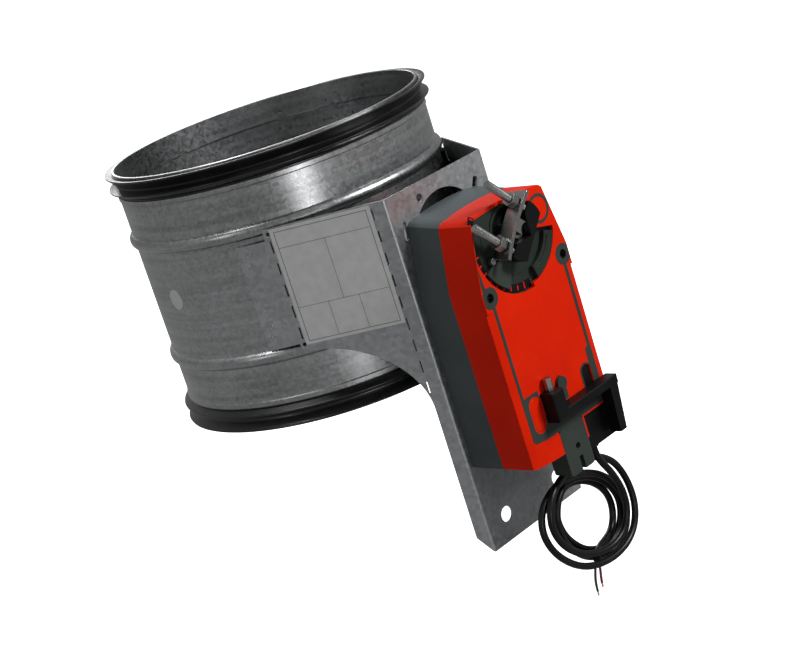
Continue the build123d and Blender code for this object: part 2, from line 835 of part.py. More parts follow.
frame_face = frame_outline(frame_back_x)
with BuildPart() as actuator_cover:
    extrude(casing_outline(seam_x), amount=face_x - seam_x)
    # shallow bevels along both long sides of the face
    with BuildSketch(Plane.XY.offset(shaft_z + casing_bottom - 1.0)) as bevels:
        for side in (-1, 1):
            with BuildLine() as corner:
                Polyline(
                    (face_x, side * (casing_half_width - bevel_width)),
                    (face_x + 1.0, side * (casing_half_width - bevel_width)),
                    (face_x + 1.0, side * (casing_half_width + 1.0)),
                    (face_x - bevel_depth, side * (casing_half_width + 1.0)),
                    (face_x - bevel_depth, side * casing_half_width),
                    close=True,
                )
            make_face(corner.edges())
    extrude(amount=bevel_top - casing_bottom, mode=Mode.SUBTRACT)
    extrude(casing_outline(seam_x, inset=casing_wall), amount=inner_face_x - seam_x, mode=Mode.SUBTRACT)
    with BuildSketch(across(seam_x)) as lug_bosses:
        with Locations((-lug_place[0], lug_place[1]), lug_place):
            Circle(lug_boss_radius)
    extrude(amount=inner_face_x - seam_x)
    with BuildSketch(across(rib_back_x)) as corner_rib:
        with Locations((tongue_right + notch_gap + rib_width / 2, (tongue_top + casing_bottom) / 2)):
            Rectangle(rib_width, tongue_top - casing_bottom - 0.6)
    extrude(amount=face_x - rib_back_x)
    # recess of the dial, grey frame, screw holes, plugs, lever, tongue and terminal block
    extrude(recess_outline(pan_floor_x), amount=face_x - pan_floor_x, mode=Mode.SUBTRACT)
    extrude(frame_face, amount=frame_depth, mode=Mode.SUBTRACT)
    with BuildSketch(across(lug_seat_x)) as lug_openings:
        with Locations((-lug_place[0], lug_place[1]), lug_place):
            Circle(lug_hole_radius)
    extrude(amount=face_x - lug_seat_x, mode=Mode.SUBTRACT)
    with BuildSketch(across(seam_x)) as lug_clearance:
        with Locations((-lug_place[0], lug_place[1]), lug_place):
            Circle(lug_screw_radius + screw_clearance)
    extrude(amount=lug_seat_x - seam_x, mode=Mode.SUBTRACT)
    with BuildSketch(across(inner_face_x)) as front_openings:
        with Locations((-plug_place[0], plug_place[1]), plug_place):
            pill(plug_width, plug_height)
        with Locations(lever_place):
            Circle(lever_hole_radius)
    extrude(amount=casing_wall, mode=Mode.SUBTRACT)
    with BuildSketch(across(tongue_back_x - notch_gap)) as tongue_notch:
        with Locations(((tongue_left + tongue_right) / 2, (tongue_top + tongue_bottom) / 2)):
            Rectangle(tongue_right - tongue_left + 2 * notch_gap, tongue_top - tongue_bottom)
    extrude(amount=face_x - tongue_back_x + notch_gap, mode=Mode.SUBTRACT)
    with BuildSketch(across(terminal_back_x - notch_gap)) as terminal_notch:
        with Locations(
            ((terminal_left - notch_gap + casing_half_width + 1.0) / 2, (terminal_top + notch_gap + terminal_bottom) / 2)
        ):
            Rectangle(
                casing_half_width + 1.0 - terminal_left + notch_gap, terminal_top + notch_gap - terminal_bottom
            )
    extrude(amount=face_x - terminal_back_x + notch_gap, mode=Mode.SUBTRACT)
actuator_cover.part.label = "actuator_cover"
export_step(actuator_cover.part, "parts/actuator_cover.step")

with BuildPart() as face_frame:
    extrude(frame_face, amount=frame_top_x - frame_back_x)
    with BuildSketch(across(tongue_back_x)) as tongue:
        with Locations(((tongue_left + tongue_right) / 2, (tongue_top + tongue_bottom) / 2)):
            Rectangle(tongue_right - tongue_left, tongue_top - tongue_bottom)
        fillet(tongue.vertices().group_by(Axis.Z)[0], radius=tongue_corner)
        with Locations((0, tongue_hole_z)):
            Circle(tongue_hole_radius, mode=Mode.SUBTRACT)
        with Locations((0, (tongue_slot_top + tongue_bottom) / 2 - 1.0)):
            Rectangle(tongue_slot_width, tongue_slot_top - tongue_bottom + 2.0, mode=Mode.SUBTRACT)
    extrude(amount=frame_top_x - tongue_back_x)
face_frame.part.label = "face_frame"
export_step(face_frame.part, "parts/face_frame.step")

# Dial pan behind the recess, with the raised ring round the hub
recess_face = recess_outline(pan_floor_x)
pan_limit = casing_outline(pan_floor_x - pan_thickness, inset=casing_wall + 0.05)
with BuildPart() as dial_pan:
    with BuildSketch(across(pan_floor_x - pan_thickness)) as pan_plate:
        ring_sector(sector_core, recess_radius + pan_margin, pan_start, 360.0)
        with Locations((hub_front_radius, 0)):
            Circle(pan_link_radius)
    extrude(amount=inner_face_x - casing_gap - pan_floor_x + pan_thickness)
    extrude(pan_limit, amount=pan_thickness + casing_wall, mode=Mode.INTERSECT)
    extrude(recess_face, amount=casing_wall, mode=Mode.SUBTRACT)
    with BuildSketch(across(pan_floor_x)) as raised_ring:
        ring_sector(hub_front_radius + hub_gap, pan_ring_radius, pan_ring_start, stop_recess_end)
    extrude(amount=pan_ring_rise)
    with BuildSketch(across(pan_floor_x - pan_thickness)) as hub_opening:
        Circle(hub_front_radius + hub_gap)
        with Locations((-lug_place[0], lug_place[1]), lug_place):
            Circle(lug_boss_radius + notch_gap)
    extrude(amount=pan_thickness + casing_wall, mode=Mode.SUBTRACT)
dial_pan.part.label = "dial_pan"
export_step(dial_pan.part, "parts/dial_pan.step")

with BuildPart() as dial_scale:
    with BuildSketch(across(pan_floor_x)) as scale_band:
        ring_sector(dial_inner_radius, dial_outer_radius, dial_start, dial_end)
    extrude(amount=dial_thickness)
    extrude(recess_outline(pan_floor_x), amount=dial_thickness, mode=Mode.INTERSECT)
dial_scale.part.label = "dial_scale"
export_step(dial_scale.part, "parts/dial_scale.step")

# Plugs in the two upright openings of the face
with BuildPart() as cover_plug:
    with BuildSketch(across(inner_face_x)) as plug_outline:
        with Locations((-plug_place[0], plug_place[1])):
            pill(plug_width - notch_gap, plug_height - notch_gap)
    extrude(amount=casing_wall)
cover_plug.part.label = "cover_plug"
export_step(cover_plug.part, "parts/cover_plug.step")

with BuildPart() as blind_plug:
    with BuildSketch(across(inner_face_x - plug_sink)) as blind_outline:
        with Locations(plug_place):
            pill(plug_width - notch_gap, plug_height - notch_gap)
    extrude(amount=casing_wall)
blind_plug.part.label = "blind_plug"
export_step(blind_plug.part, "parts/blind_plug.step")

# Screws down the two lugs
with BuildPart() as cover_screws:
    with BuildSketch(across(lug_screw_back_x)) as screw_shanks:
        with Locations((-lug_place[0], lug_place[1]), lug_place):
            Circle(lug_screw_radius)
    extrude(amount=lug_seat_x - lug_screw_back_x)
    with BuildSketch(across(lug_seat_x)) as screw_heads:
        with Locations((-lug_place[0], lug_place[1]), lug_place):
            Circle(lug_hole_radius - notch_gap)
    extrude(amount=lug_head_height)
cover_screws.part.label = "cover_screws"
export_step(cover_screws.part, "parts/cover_screws.step")

# Screws that hold the casing on the console, put in from behind
with BuildPart() as fixing_screws:
    with BuildSketch(across(plate_x - sheet)) as fixing_shanks:
        with Locations(*fixing_places):
            Circle(fixing_radius)
    extrude(amount=fixing_length - sheet)
    with BuildSketch(across(plate_x - sheet - fixing_head_height)) as fixing_heads:
        with Locations(*fixing_places):
            Circle(fixing_head_radius)
    extrude(amount=fixing_head_height)
fixing_screws.part.label = "fixing_screws"
export_step(fixing_screws.part, "parts/fixing_screws.step")

# Terminal block in the casing's lower right corner, and the cable gland under it
with BuildPart() as terminal_block:
    with BuildSketch(across(terminal_back_x)) as block_outline:
        with Locations(((terminal_left + terminal_right) / 2, (terminal_top + terminal_bottom) / 2)):
            Rectangle(terminal_right - terminal_left, terminal_top - terminal_bottom)
        fillet(block_outline.vertices().group_by(Axis.Z)[0], radius=terminal_corner)
    extrude(amount=terminal_front_x - terminal_back_x)
    with BuildSketch(Plane.XY.offset(gland_z)) as gland_socket:
        with Locations(gland_place):
            Circle(cable_radius)
    extrude(amount=gland_socket_depth, mode=Mode.SUBTRACT)
terminal_block.part.label = "terminal_block"
export_step(terminal_block.part, "parts/terminal_block.step")

with BuildPart() as cable_gland:
    with BuildSketch(Plane.XY.offset(gland_z - gland_height)) as gland_outline:
        with Locations(gland_place):
            Circle(gland_radius)
    extrude(amount=gland_height)
    chamfer(cable_gland.faces().sort_by(Axis.Z)[0].edges(), length=gland_chamfer)
    with BuildSketch(Plane.XY.offset(gland_z - gland_height)) as gland_bore:
        with Locations(gland_place):
            Circle(cable_radius)
    extrude(amount=gland_height, mode=Mode.SUBTRACT)
cable_gland.part.label = "cable_gland"
export_step(cable_gland.part, "parts/cable_gland.step")

# Output hub, a stepped tube round the shaft with a serrated pocket for the clamp
with BuildPart() as output_hub:
    with BuildSketch(across(hub_back_x)) as shank:
        Circle(hub_shank_radius)
    extrude(amount=hub_step_x - hub_back_x)
    with BuildSketch(across(hub_step_x)) as head:
        Circle(hub_front_radius)
    extrude(amount=hub_face_x - hub_step_x)
    with BuildSketch(across(hub_back_x)) as hub_bore:
        Circle(shaft_radius + shaft_fit)
    extrude(amount=hub_face_x - hub_back_x, mode=Mode.SUBTRACT)
    with BuildSketch(across(hub_pocket_x)) as pocket:
        Circle(hub_pocket_radius)
        with PolarLocations(hub_pocket_radius, serration_count):
            Circle(serration_radius)
    extrude(amount=hub_face_x - hub_pocket_x, mode=Mode.SUBTRACT)
output_hub.part.label = "output_hub"
export_step(output_hub.part, "parts/output_hub.step")

# Bearings of the hub in the back wall and in the gear plate
bearing_outer = hub_shank_radius + bearing_fit + bearing_wall
with BuildPart() as rear_bearing:
    with BuildSketch(across(casing_back_x)) as rear_ring:
        Circle(bearing_outer)
        Circle(hub_shank_radius + bearing_fit, mode=Mode.SUBTRACT)
    extrude(amount=casing_wall)
rear_bearing.part.label = "rear_bearing"
export_step(rear_bearing.part, "parts/rear_bearing.step")

with BuildPart() as front_bearing:
    with BuildSketch(across(gear_plate_x)) as front_ring:
        Circle(bearing_outer)
        Circle(hub_shank_radius + bearing_fit, mode=Mode.SUBTRACT)
    extrude(amount=gear_plate_thickness)
front_bearing.part.label = "front_bearing"
export_step(front_bearing.part, "parts/front_bearing.step")

with BuildPart() as gear_plate:
    with BuildSketch(across(gear_plate_x)) as plate_outline:
        with Locations((0, (gear_plate_top + gear_plate_bottom) / 2)):
            Rectangle(2 * gear_plate_half_width, gear_plate_top - gear_plate_bottom)
        fillet(plate_outline.vertices(), radius=gear_plate_corner)
        Circle(bearing_outer, mode=Mode.SUBTRACT)
        with Locations((0, second_place), (0, first_place)):
            Circle(axle_radius, mode=Mode.SUBTRACT)
        with Locations(*pillar_places):
            Circle(pillar_screw_radius + screw_clearance, mode=Mode.SUBTRACT)
        with Locations((-lug_place[0], lug_place[1]), lug_place):
            Circle(lug_boss_radius + gear_plate_gap, mode=Mode.SUBTRACT)
    extrude(amount=gear_plate_thickness)
gear_plate.part.label = "gear_plate"
export_step(gear_plate.part, "parts/gear_plate.step")

with BuildPart() as plate_screws:
    with BuildSketch(across(gear_plate_x - pillar_screw_depth)) as plate_screw_shanks:
        with Locations(*pillar_places):
            Circle(pillar_screw_radius)
    extrude(amount=pillar_screw_depth + gear_plate_thickness)
    with BuildSketch(across(gear_plate_x + gear_plate_thickness)) as plate_screw_heads:
        with Locations(*pillar_places):
            Circle(2 * pillar_screw_radius)
    extrude(amount=pillar_head_height)
plate_screws.part.label = "plate_screws"
export_step(plate_screws.part, "parts/plate_screws.step")

with BuildPart() as gear_axles:
    with BuildSketch(across(back_wall_x)) as axles:
        with Locations((0, second_place), (0, first_place)):
            Circle(axle_radius)
    extrude(amount=gear_plate_x + gear_plate_thickness - back_wall_x)
gear_axles.part.label = "gear_axles"
export_step(gear_axles.part, "parts/gear_axles.step")

# Return spring round the hub, a flat strip wound in half turns
with BuildPart() as return_spring:
    with BuildSketch(across(spring_level[0])) as spring_strip_line:
        with BuildLine() as coils:
            start = (hub_shank_radius + spring_gap + spring_strip / 2, 0.0)
            for number in range(spring_half_turns):
                side = 1 if number % 2 == 0 else -1
                end = (-side * (abs(start[0]) + spring_half_pitch), 0.0)
                middle = (start[0] + end[0]) / 2
                reach = abs(start[0] - end[0]) / 2
                ThreePointArc(start, (middle, side * reach), end)
                start = end
        trace(line_width=spring_strip)
    extrude(amount=spring_level[1] - spring_level[0])
return_spring.part.label = "return_spring"
export_step(return_spring.part, "parts/return_spring.step")

# Motor and circuit board
with BuildPart() as motor:
    with BuildSketch(across(back_wall_x)) as motor_outline:
        with Locations((0, motor_place)):
            Circle(motor_radius)
    extrude(amount=motor_front_x - back_wall_x)
    with BuildSketch(across(rotor_back_x - 0.3)) as rotor_bore:
        with Locations((0, motor_place)):
            Circle(rotor_radius + gear_fit)
    extrude(amount=motor_front_x - rotor_back_x + 0.3, mode=Mode.SUBTRACT)
motor.part.label = "motor"
export_step(motor.part, "parts/motor.step")

with BuildPart() as circuit_board:
    with BuildSketch(across(board_x)) as board_outline:
        with Locations((0, board_z)):
            Rectangle(*board_size)
    extrude(amount=board_thickness)
    for place_y, place_z, radius, height in board_places:
        with BuildSketch(across(board_x + board_thickness)) as component:
            with Locations((place_y, place_z)):
                Circle(radius)
        extrude(amount=height)
    with BuildSketch(across(back_wall_x)) as board_feet:
        with Locations((0, board_z)):
            with GridLocations(44.0, 22.0, 2, 2):
                Circle(board_foot_radius)
    extrude(amount=board_x - back_wall_x)
circuit_board.part.label = "circuit_board"
export_step(circuit_board.part, "parts/circuit_board.step")

# Gears. At rest each mesh has a tooth of one gear in a gap of the other, and again after the
# blade's quarter turn, which is a whole number of turns of every smaller gear
def gear_plane(x, place):
    return Plane(origin=(x, 0, shaft_z + place), x_dir=(0, 1, 0), z_dir=(1, 0, 0))


with BuildPart() as output_gear:
    output_pitch = 360 / output_teeth
    cut_teeth = round(blade_travel / output_pitch) + output_spare_teeth
    with BuildSketch(across(output_level[0])) as output_outline:
        gear(output_teeth, wheel_addendum, -90 - output_pitch * (output_spare_teeth - 1) / 2, count=cut_teeth)
        Circle(hub_shank_radius + 3.0)
        Circle(hub_shank_radius, mode=Mode.SUBTRACT)
    extrude(amount=output_level[1] - output_level[0])
output_gear.part.label = "output_gear"
export_step(output_gear.part, "parts/output_gear.step")

with BuildPart() as second_gear:
    with BuildSketch(gear_plane(output_level[0], second_place)) as second_pinion:
        gear(second_pinion_teeth, pinion_addendum, 90)
    extrude(amount=output_level[1] - output_level[0])
    with BuildSketch(gear_plane(output_level[0], second_place)) as second_sleeve:
        Circle(gear_sleeve)
    extrude(amount=second_level[1] - output_level[0] + 0.5)
    with BuildSketch(gear_plane(second_level[0], second_place)) as second_wheel:
        gear(second_wheel_teeth, wheel_addendum, -90)
    extrude(amount=second_level[1] - second_level[0])
    with BuildSketch(gear_plane(output_level[0], second_place)) as second_bore:
        Circle(axle_radius + gear_fit)
    extrude(amount=second_level[1] - output_level[0] + 0.5, mode=Mode.SUBTRACT)
second_gear.part.label = "second_gear"
export_step(second_gear.part, "parts/second_gear.step")

with BuildPart() as first_gear:
    with BuildSketch(gear_plane(second_level[0] - 0.5, first_place)) as first_sleeve:
        Circle(gear_sleeve)
    extrude(amount=first_level[1] - second_level[0] + 1.0)
    with BuildSketch(gear_plane(second_level[0], first_place)) as first_pinion:
        gear(first_pinion_teeth, pinion_addendum, 90 + 180 / first_pinion_teeth)
    extrude(amount=second_level[1] - second_level[0])
    with BuildSketch(gear_plane(first_level[0], first_place)) as first_wheel:
        gear(first_wheel_teeth, wheel_addendum, -90)
    extrude(amount=first_level[1] - first_level[0])
    with BuildSketch(gear_plane(second_level[0] - 0.5, first_place)) as first_bore:
        Circle(axle_radius + gear_fit)
    extrude(amount=first_level[1] - second_level[0] + 1.0, mode=Mode.SUBTRACT)
first_gear.part.label = "first_gear"
export_step(first_gear.part, "parts/first_gear.step")

with BuildPart() as motor_pinion:
    with BuildSketch(gear_plane(rotor_back_x, motor_place)) as rotor:
        Circle(rotor_radius)
    extrude(amount=first_level[1] - rotor_back_x + 0.8)
    with BuildSketch(gear_plane(first_level[0], motor_place)) as motor_gear:
        gear(motor_teeth, pinion_addendum, 90 + 180 / motor_teeth)
    extrude(amount=first_level[1] - first_level[0])
motor_pinion.part.label = "motor_pinion"
export_step(motor_pinion.part, "parts/motor_pinion.step")

# Blade: two pressed discs with a channel for the shaft, and the rubber seal between them
channel_radius = shaft_radius + channel_clearance
disc_bottom_z = shaft_z + disc_gap / 2
with BuildPart() as blade_disc_upper:
    with BuildSketch(Plane.XY.offset(disc_bottom_z)) as disc_outline:
        Circle(disc_radius)
    extrude(amount=disc_thickness)
    with BuildSketch(across(-disc_radius)) as channel_outline:
        Circle(channel_radius + disc_thickness)
    extrude(amount=2 * disc_radius)
    split(bisect_by=Plane.XY.offset(disc_bottom_z), keep=Keep.TOP)
    with BuildSketch(Plane.XY.offset(disc_bottom_z)) as channel_trim:
        Circle(disc_radius)
    extrude(amount=channel_radius + disc_thickness, mode=Mode.INTERSECT)
    with BuildSketch(across(-disc_radius)) as channel_bore:
        Circle(channel_radius)
    extrude(amount=2 * disc_radius, mode=Mode.SUBTRACT)
    with BuildSketch(Plane.XY.offset(disc_bottom_z)) as disc_holes:
        with PolarLocations(rivet_circle_radius, rivet_count, start_angle=180 / rivet_count):
            Circle(rivet_radius)
        with Locations((-blade_bolt_x, 0), (blade_bolt_x, 0)):
            Circle(blade_bolt_radius)
    extrude(amount=channel_radius + disc_thickness, mode=Mode.SUBTRACT)
blade_disc_upper.part.label = "blade_disc_upper"
export_step(blade_disc_upper.part, "parts/blade_disc_upper.step")

with BuildPart() as blade_disc_lower:
    mirror(blade_disc_upper.part, about=Plane.XY.offset(shaft_z))
blade_disc_lower.part.label = "blade_disc_lower"
export_step(blade_disc_lower.part, "parts/blade_disc_lower.step")

with BuildPart() as blade_seal:
    with BuildSketch(Plane.XY.offset(disc_bottom_z - disc_gap)) as seal_web:
        Circle(blade_seal_radius - blade_bead_width / 2)
        Circle(blade_seal_inner_radius, mode=Mode.SUBTRACT)
    extrude(amount=disc_gap)
    with BuildSketch(Plane.XY.offset(shaft_z - blade_bead_height / 2)) as seal_bead:
        Circle(blade_seal_radius)
        Circle(blade_seal_radius - blade_bead_width, mode=Mode.SUBTRACT)
    extrude(amount=blade_bead_height)
    with BuildSketch(Plane.XY.offset(shaft_z - blade_bead_height)) as seal_notches:
        with Locations((-blade_seal_radius, 0), (blade_seal_radius, 0)):
            Rectangle(2 * (blade_seal_radius - blade_notch_x), 2 * blade_notch_half_width)
        with PolarLocations(rivet_circle_radius, rivet_count, start_angle=180 / rivet_count):
            Circle(rivet_radius)
    extrude(amount=2 * blade_bead_height, mode=Mode.SUBTRACT)
    with BuildSketch(across(-blade_seal_radius)) as seal_channel:
        Circle(channel_radius + disc_thickness)
    extrude(amount=2 * blade_seal_radius, mode=Mode.SUBTRACT)
blade_seal.part.label = "blade_seal"
export_step(blade_seal.part, "parts/blade_seal.step")

with BuildPart() as blade_rivets:
    rivet_half = disc_gap / 2 + disc_thickness
    with BuildSketch(Plane.XY.offset(shaft_z - rivet_half - rivet_head_height)) as rivet_heads:
        with PolarLocations(rivet_circle_radius, rivet_count, start_angle=180 / rivet_count):
            Circle(rivet_head_radius)
    extrude(amount=rivet_head_height)
    mirror(about=Plane.XY.offset(shaft_z))
    with BuildSketch(Plane.XY.offset(shaft_z - rivet_half)) as rivet_shanks:
        with PolarLocations(rivet_circle_radius, rivet_count, start_angle=180 / rivet_count):
            Circle(rivet_radius)
    extrude(amount=2 * rivet_half)
blade_rivets.part.label = "blade_rivets"
export_step(blade_rivets.part, "parts/blade_rivets.step")

with BuildPart() as blade_shaft:
    with BuildSketch(across(shaft_back_x)) as shaft_section:
        Circle(shaft_radius)
    extrude(amount=shaft_front_x - shaft_back_x)
    chamfer(blade_shaft.faces().sort_by(Axis.X)[-1].edges(), length=0.6)
    with BuildSketch(across(circlip_x)) as circlip_groove:
        Circle(shaft_radius)
        Circle(circlip_groove_radius, mode=Mode.SUBTRACT)
    extrude(amount=circlip_thickness, mode=Mode.SUBTRACT)
    with BuildSketch(Plane.XY.offset(shaft_z - 2 * shaft_radius)) as bolt_holes:
        with Locations((-blade_bolt_x, 0), (blade_bolt_x, 0)):
            Circle(blade_bolt_radius)
    extrude(amount=4 * shaft_radius, mode=Mode.SUBTRACT)
blade_shaft.part.label = "blade_shaft"
export_step(blade_shaft.part, "parts/blade_shaft.step")

with BuildPart() as shaft_circlip:
    with BuildSketch(across(circlip_x)) as circlip_outline:
        Circle(circlip_radius)
        Circle(circlip_groove_radius, mode=Mode.SUBTRACT)
        with Locations((0, circlip_radius)):
            Rectangle(4.0, 2 * circlip_radius, mode=Mode.SUBTRACT)
    extrude(amount=circlip_thickness)
shaft_circlip.part.label = "shaft_circlip"
export_step(shaft_circlip.part, "parts/shaft_circlip.step")

with BuildPart() as blade_bolts:
    bolt_seat = channel_radius + disc_thickness
    with BuildSketch(Plane.XY.offset(shaft_z - bolt_seat - blade_nut_height - 1.0)) as bolt_shanks:
        with Locations((-blade_bolt_x, 0), (blade_bolt_x, 0)):
            Circle(blade_bolt_radius)
    extrude(amount=2 * bolt_seat + blade_nut_height + 1.0)
    with BuildSketch(Plane.XY.offset(shaft_z + bolt_seat)) as bolt_heads:
        with Locations((-blade_bolt_x, 0), (blade_bolt_x, 0)):
            Circle(blade_bolt_head_radius)
    extrude(amount=blade_bolt_head_height)
blade_bolts.part.label = "blade_bolts"
export_step(blade_bolts.part, "parts/blade_bolts.step")

with BuildPart() as blade_nuts:
    with BuildSketch(Plane.XY.offset(shaft_z - bolt_seat - blade_nut_height)) as blade_nut_outline:
        with Locations((-blade_bolt_x, 0), (blade_bolt_x, 0)):
            RegularPolygon(blade_nut_flats / 2, 6, major_radius=False)
            Circle(blade_bolt_radius, mode=Mode.SUBTRACT)
    extrude(amount=blade_nut_height)
blade_nuts.part.label = "blade_nuts"
export_step(blade_nuts.part, "parts/blade_nuts.step")

# Shaft clamp in front of the hub: block with a notch, saddle, two studs and their nuts
notch_point = (shaft_radius + shaft_fit) * sqrt(2)


def block_outline(radius):
    """Adds the clamp block's half-moon to the sketch that is being drawn."""
    Circle(radius)
    with Locations(((block_start + block_end) / 2, 0)):
        Rectangle(block_end - block_start, 2 * radius, mode=Mode.INTERSECT)
    with BuildLine() as notch:
        Polyline((notch_point, 0), (-radius, notch_point + radius), (-radius, -notch_point - radius), close=True)
    make_face(notch.edges(), mode=Mode.SUBTRACT)


with BuildPart() as clamp_block:
    with BuildSketch(clamp_face(block_back_x)) as block_rear:
        block_outline(block_rear_radius)
    extrude(amount=saddle_back_x - block_back_x)
    with BuildSketch(clamp_face(saddle_back_x)) as block_front:
        block_outline(block_radius)
    extrude(amount=block_front_x - saddle_back_x)
    with BuildSketch(clamp_section(block_start - 1.0)) as block_holes:
        with Locations((-stud_spacing / 2, 0), (stud_spacing / 2, 0)):
            Circle(stud_radius)
    extrude(amount=stud_end - block_start + 1.0, mode=Mode.SUBTRACT)
clamp_block.part.label = "clamp_block"
export_step(clamp_block.part, "parts/clamp_block.step")

with BuildPart() as clamp_saddle:
    saddle_back = saddle_end - saddle_thickness
    with BuildSketch(clamp_face(saddle_back_x)) as saddle_outline:
        with BuildLine():
            ThreePointArc(
                (saddle_end, -saddle_half_length), (saddle_end - saddle_bow, 0), (saddle_end, saddle_half_length)
            )
            Line((saddle_end, saddle_half_length), (saddle_back, saddle_half_length))
            ThreePointArc(
                (saddle_back, saddle_half_length), (saddle_back - saddle_bow, 0), (saddle_back, -saddle_half_length)
            )
            Line((saddle_back, -saddle_half_length), (saddle_end, -saddle_half_length))
        make_face()
        boss_end = -sqrt((shaft_radius + shaft_fit) ** 2 - saddle_boss_half_width**2)
        with Locations(((saddle_back + boss_end) / 2, 0)):
            Rectangle(boss_end - saddle_back, 2 * saddle_boss_half_width)
        Circle(shaft_radius + shaft_fit, mode=Mode.SUBTRACT)
    extrude(amount=saddle_front_x - saddle_back_x)
    with BuildSketch(clamp_section(saddle_back - 2 * saddle_bow)) as saddle_holes:
        with Locations((-stud_spacing / 2, 0), (stud_spacing / 2, 0)):
            Circle(stud_radius + 0.2)
    extrude(amount=4 * saddle_bow + saddle_thickness, mode=Mode.SUBTRACT)
clamp_saddle.part.label = "clamp_saddle"
export_step(clamp_saddle.part, "parts/clamp_saddle.step")

with BuildPart() as clamp_studs:
    with BuildSketch(clamp_section(stud_start)) as stud_section:
        with Locations((-stud_spacing / 2, 0), (stud_spacing / 2, 0)):
            Circle(stud_radius)
    extrude(amount=stud_end - stud_start)
clamp_studs.part.label = "clamp_studs"
export_step(clamp_studs.part, "parts/clamp_studs.step")

with BuildPart() as clamp_nuts:
    nut_seat = saddle_back - saddle_bow + 0.2
    with BuildSketch(clamp_section(nut_seat - clamp_nut_height)) as clamp_nut_outline:
        with Locations((-stud_spacing / 2, 0), (stud_spacing / 2, 0)):
            RegularPolygon(clamp_nut_flats / 2, 6, major_radius=False)
            Circle(stud_radius, mode=Mode.SUBTRACT)
    extrude(amount=clamp_nut_height)
clamp_nuts.part.label = "clamp_nuts"
export_step(clamp_nuts.part, "parts/clamp_nuts.step")

# Position pointer and clip on the hub's face
boss_turn = radians(pointer_screw_place[1])
boss_place = (pointer_screw_place[0] * cos(boss_turn), pointer_screw_place[0] * sin(boss_turn))
with BuildPart() as pointer:
    with BuildSketch(across(hub_face_x)) as pointer_outline:
        ring_sector(pointer_inner_radius, pointer_outer_radius, pointer_start, pointer_end)
        ring_sector(pointer_head_radius, pointer_outer_radius, pointer_head_start, pointer_end)
        with Locations(boss_place):
            Circle(pointer_boss_radius)
            Circle(pointer_screw_radius / 2, mode=Mode.SUBTRACT)
    extrude(amount=pointer_thickness)
pointer.part.label = "pointer"
export_step(pointer.part, "parts/pointer.step")

with BuildPart() as pointer_screw:
    with BuildSketch(across(hub_face_x)) as pointer_shank:
        with Locations(boss_place):
            Circle(pointer_screw_radius / 2)
    extrude(amount=pointer_thickness)
    with BuildSketch(across(hub_face_x + pointer_thickness)) as pointer_head:
        with Locations(boss_place):
            Circle(pointer_screw_radius)
    extrude(amount=0.8)
pointer_screw.part.label = "pointer_screw"
export_step(pointer_screw.part, "parts/pointer_screw.step")

with BuildPart() as hub_clip:
    with BuildSketch(across(hub_face_x)) as clip_outline:
        ring_sector(*hub_clip_radii, *hub_clip_angles)
    extrude(amount=hub_clip_height)
hub_clip.part.label = "hub_clip"
export_step(hub_clip.part, "parts/hub_clip.step")

# End stop, a crescent that slides round the dial
with BuildPart() as end_stop:
    with BuildSketch(across(stop_back_x)) as stop_outline:
        ring_sector(stop_inner_radius, stop_outer_radius, stop_start, stop_end)
    extrude(amount=stop_front_x - stop_back_x)
    with BuildSketch(across(stop_front_x - 1.0)) as stop_slot:
        ring_sector(
            stop_slot_radius, stop_slot_radius + stop_slot_width, stop_start + stop_slot_width * 4, stop_end - 6.0
        )
    extrude(amount=1.0, mode=Mode.SUBTRACT)
end_stop.part.label = "end_stop"
export_step(end_stop.part, "parts/end_stop.step")

# Lock lever, held behind the cover by its wider disc
with BuildPart() as lock_lever:
    with BuildSketch(across(lever_back_x)) as lever_flange:
        with Locations(lever_place):
            Circle(lever_radius + 1.5)
    extrude(amount=inner_face_x - 0.3 - lever_back_x)
    with BuildSketch(across(lever_back_x)) as lever_disc:
        with Locations(lever_place):
            Circle(lever_radius)
    extrude(amount=lever_front_x - lever_back_x)
    with BuildSketch(across(lever_disc_x)) as lever_tab:
        with Locations((lever_place[0], lever_place[1] - lever_tab_length / 2)):
            Rectangle(lever_tab_width, lever_tab_length)
    extrude(amount=lever_front_x - lever_disc_x)
lock_lever.part.label = "lock_lever"
export_step(lock_lever.part, "parts/lock_lever.step")

# Crank handle, stowed flat on the face, with its hexagon pin
hexagon_plane = Plane.XY.offset(shaft_z + hexagon_bottom)
with BuildPart() as crank_handle:
    arm_left, arm_right, arm_bottom, arm_top = crank_arm
    hub_left, hub_right, hub_bottom, hub_top = crank_hub
    with BuildSketch(across(crank_back_x)) as arm:
        with Locations(((arm_left + arm_right) / 2, (arm_bottom + arm_top) / 2)):
            Rectangle(arm_right - arm_left, arm_top - arm_bottom)
    extrude(amount=crank_front_x - crank_back_x)
    with BuildSketch(across(crank_foot_x + frame_rise)) as crank_end:
        with Locations(((hub_left + hub_right) / 2, (hub_bottom + hub_top) / 2)):
            Rectangle(hub_right - hub_left, hub_top - hub_bottom)
    extrude(amount=crank_front_x - crank_foot_x - frame_rise)
    with BuildSketch(across(crank_back_x)) as grip:
        with BuildLine():
            Polyline(
                (grip_inner_y, arm_top),
                (arm_right, arm_top),
                (arm_right - grip_slant, grip_bottom),
                (grip_inner_y - grip_slant / 2, grip_bottom),
                close=True,
            )
        make_face()
    extrude(amount=grip_front_x - crank_back_x)
    chamfer(crank_handle.faces().sort_by(Axis.X)[-1].edges(), length=0.8)
    with BuildSketch(hexagon_plane) as hexagon_hole:
        with Locations(hexagon_place):
            RegularPolygon(hexagon_flats / 2, 6, major_radius=False)
    extrude(amount=hub_top - hexagon_bottom, mode=Mode.SUBTRACT)
crank_handle.part.label = "crank_handle"
export_step(crank_handle.part, "parts/crank_handle.step")

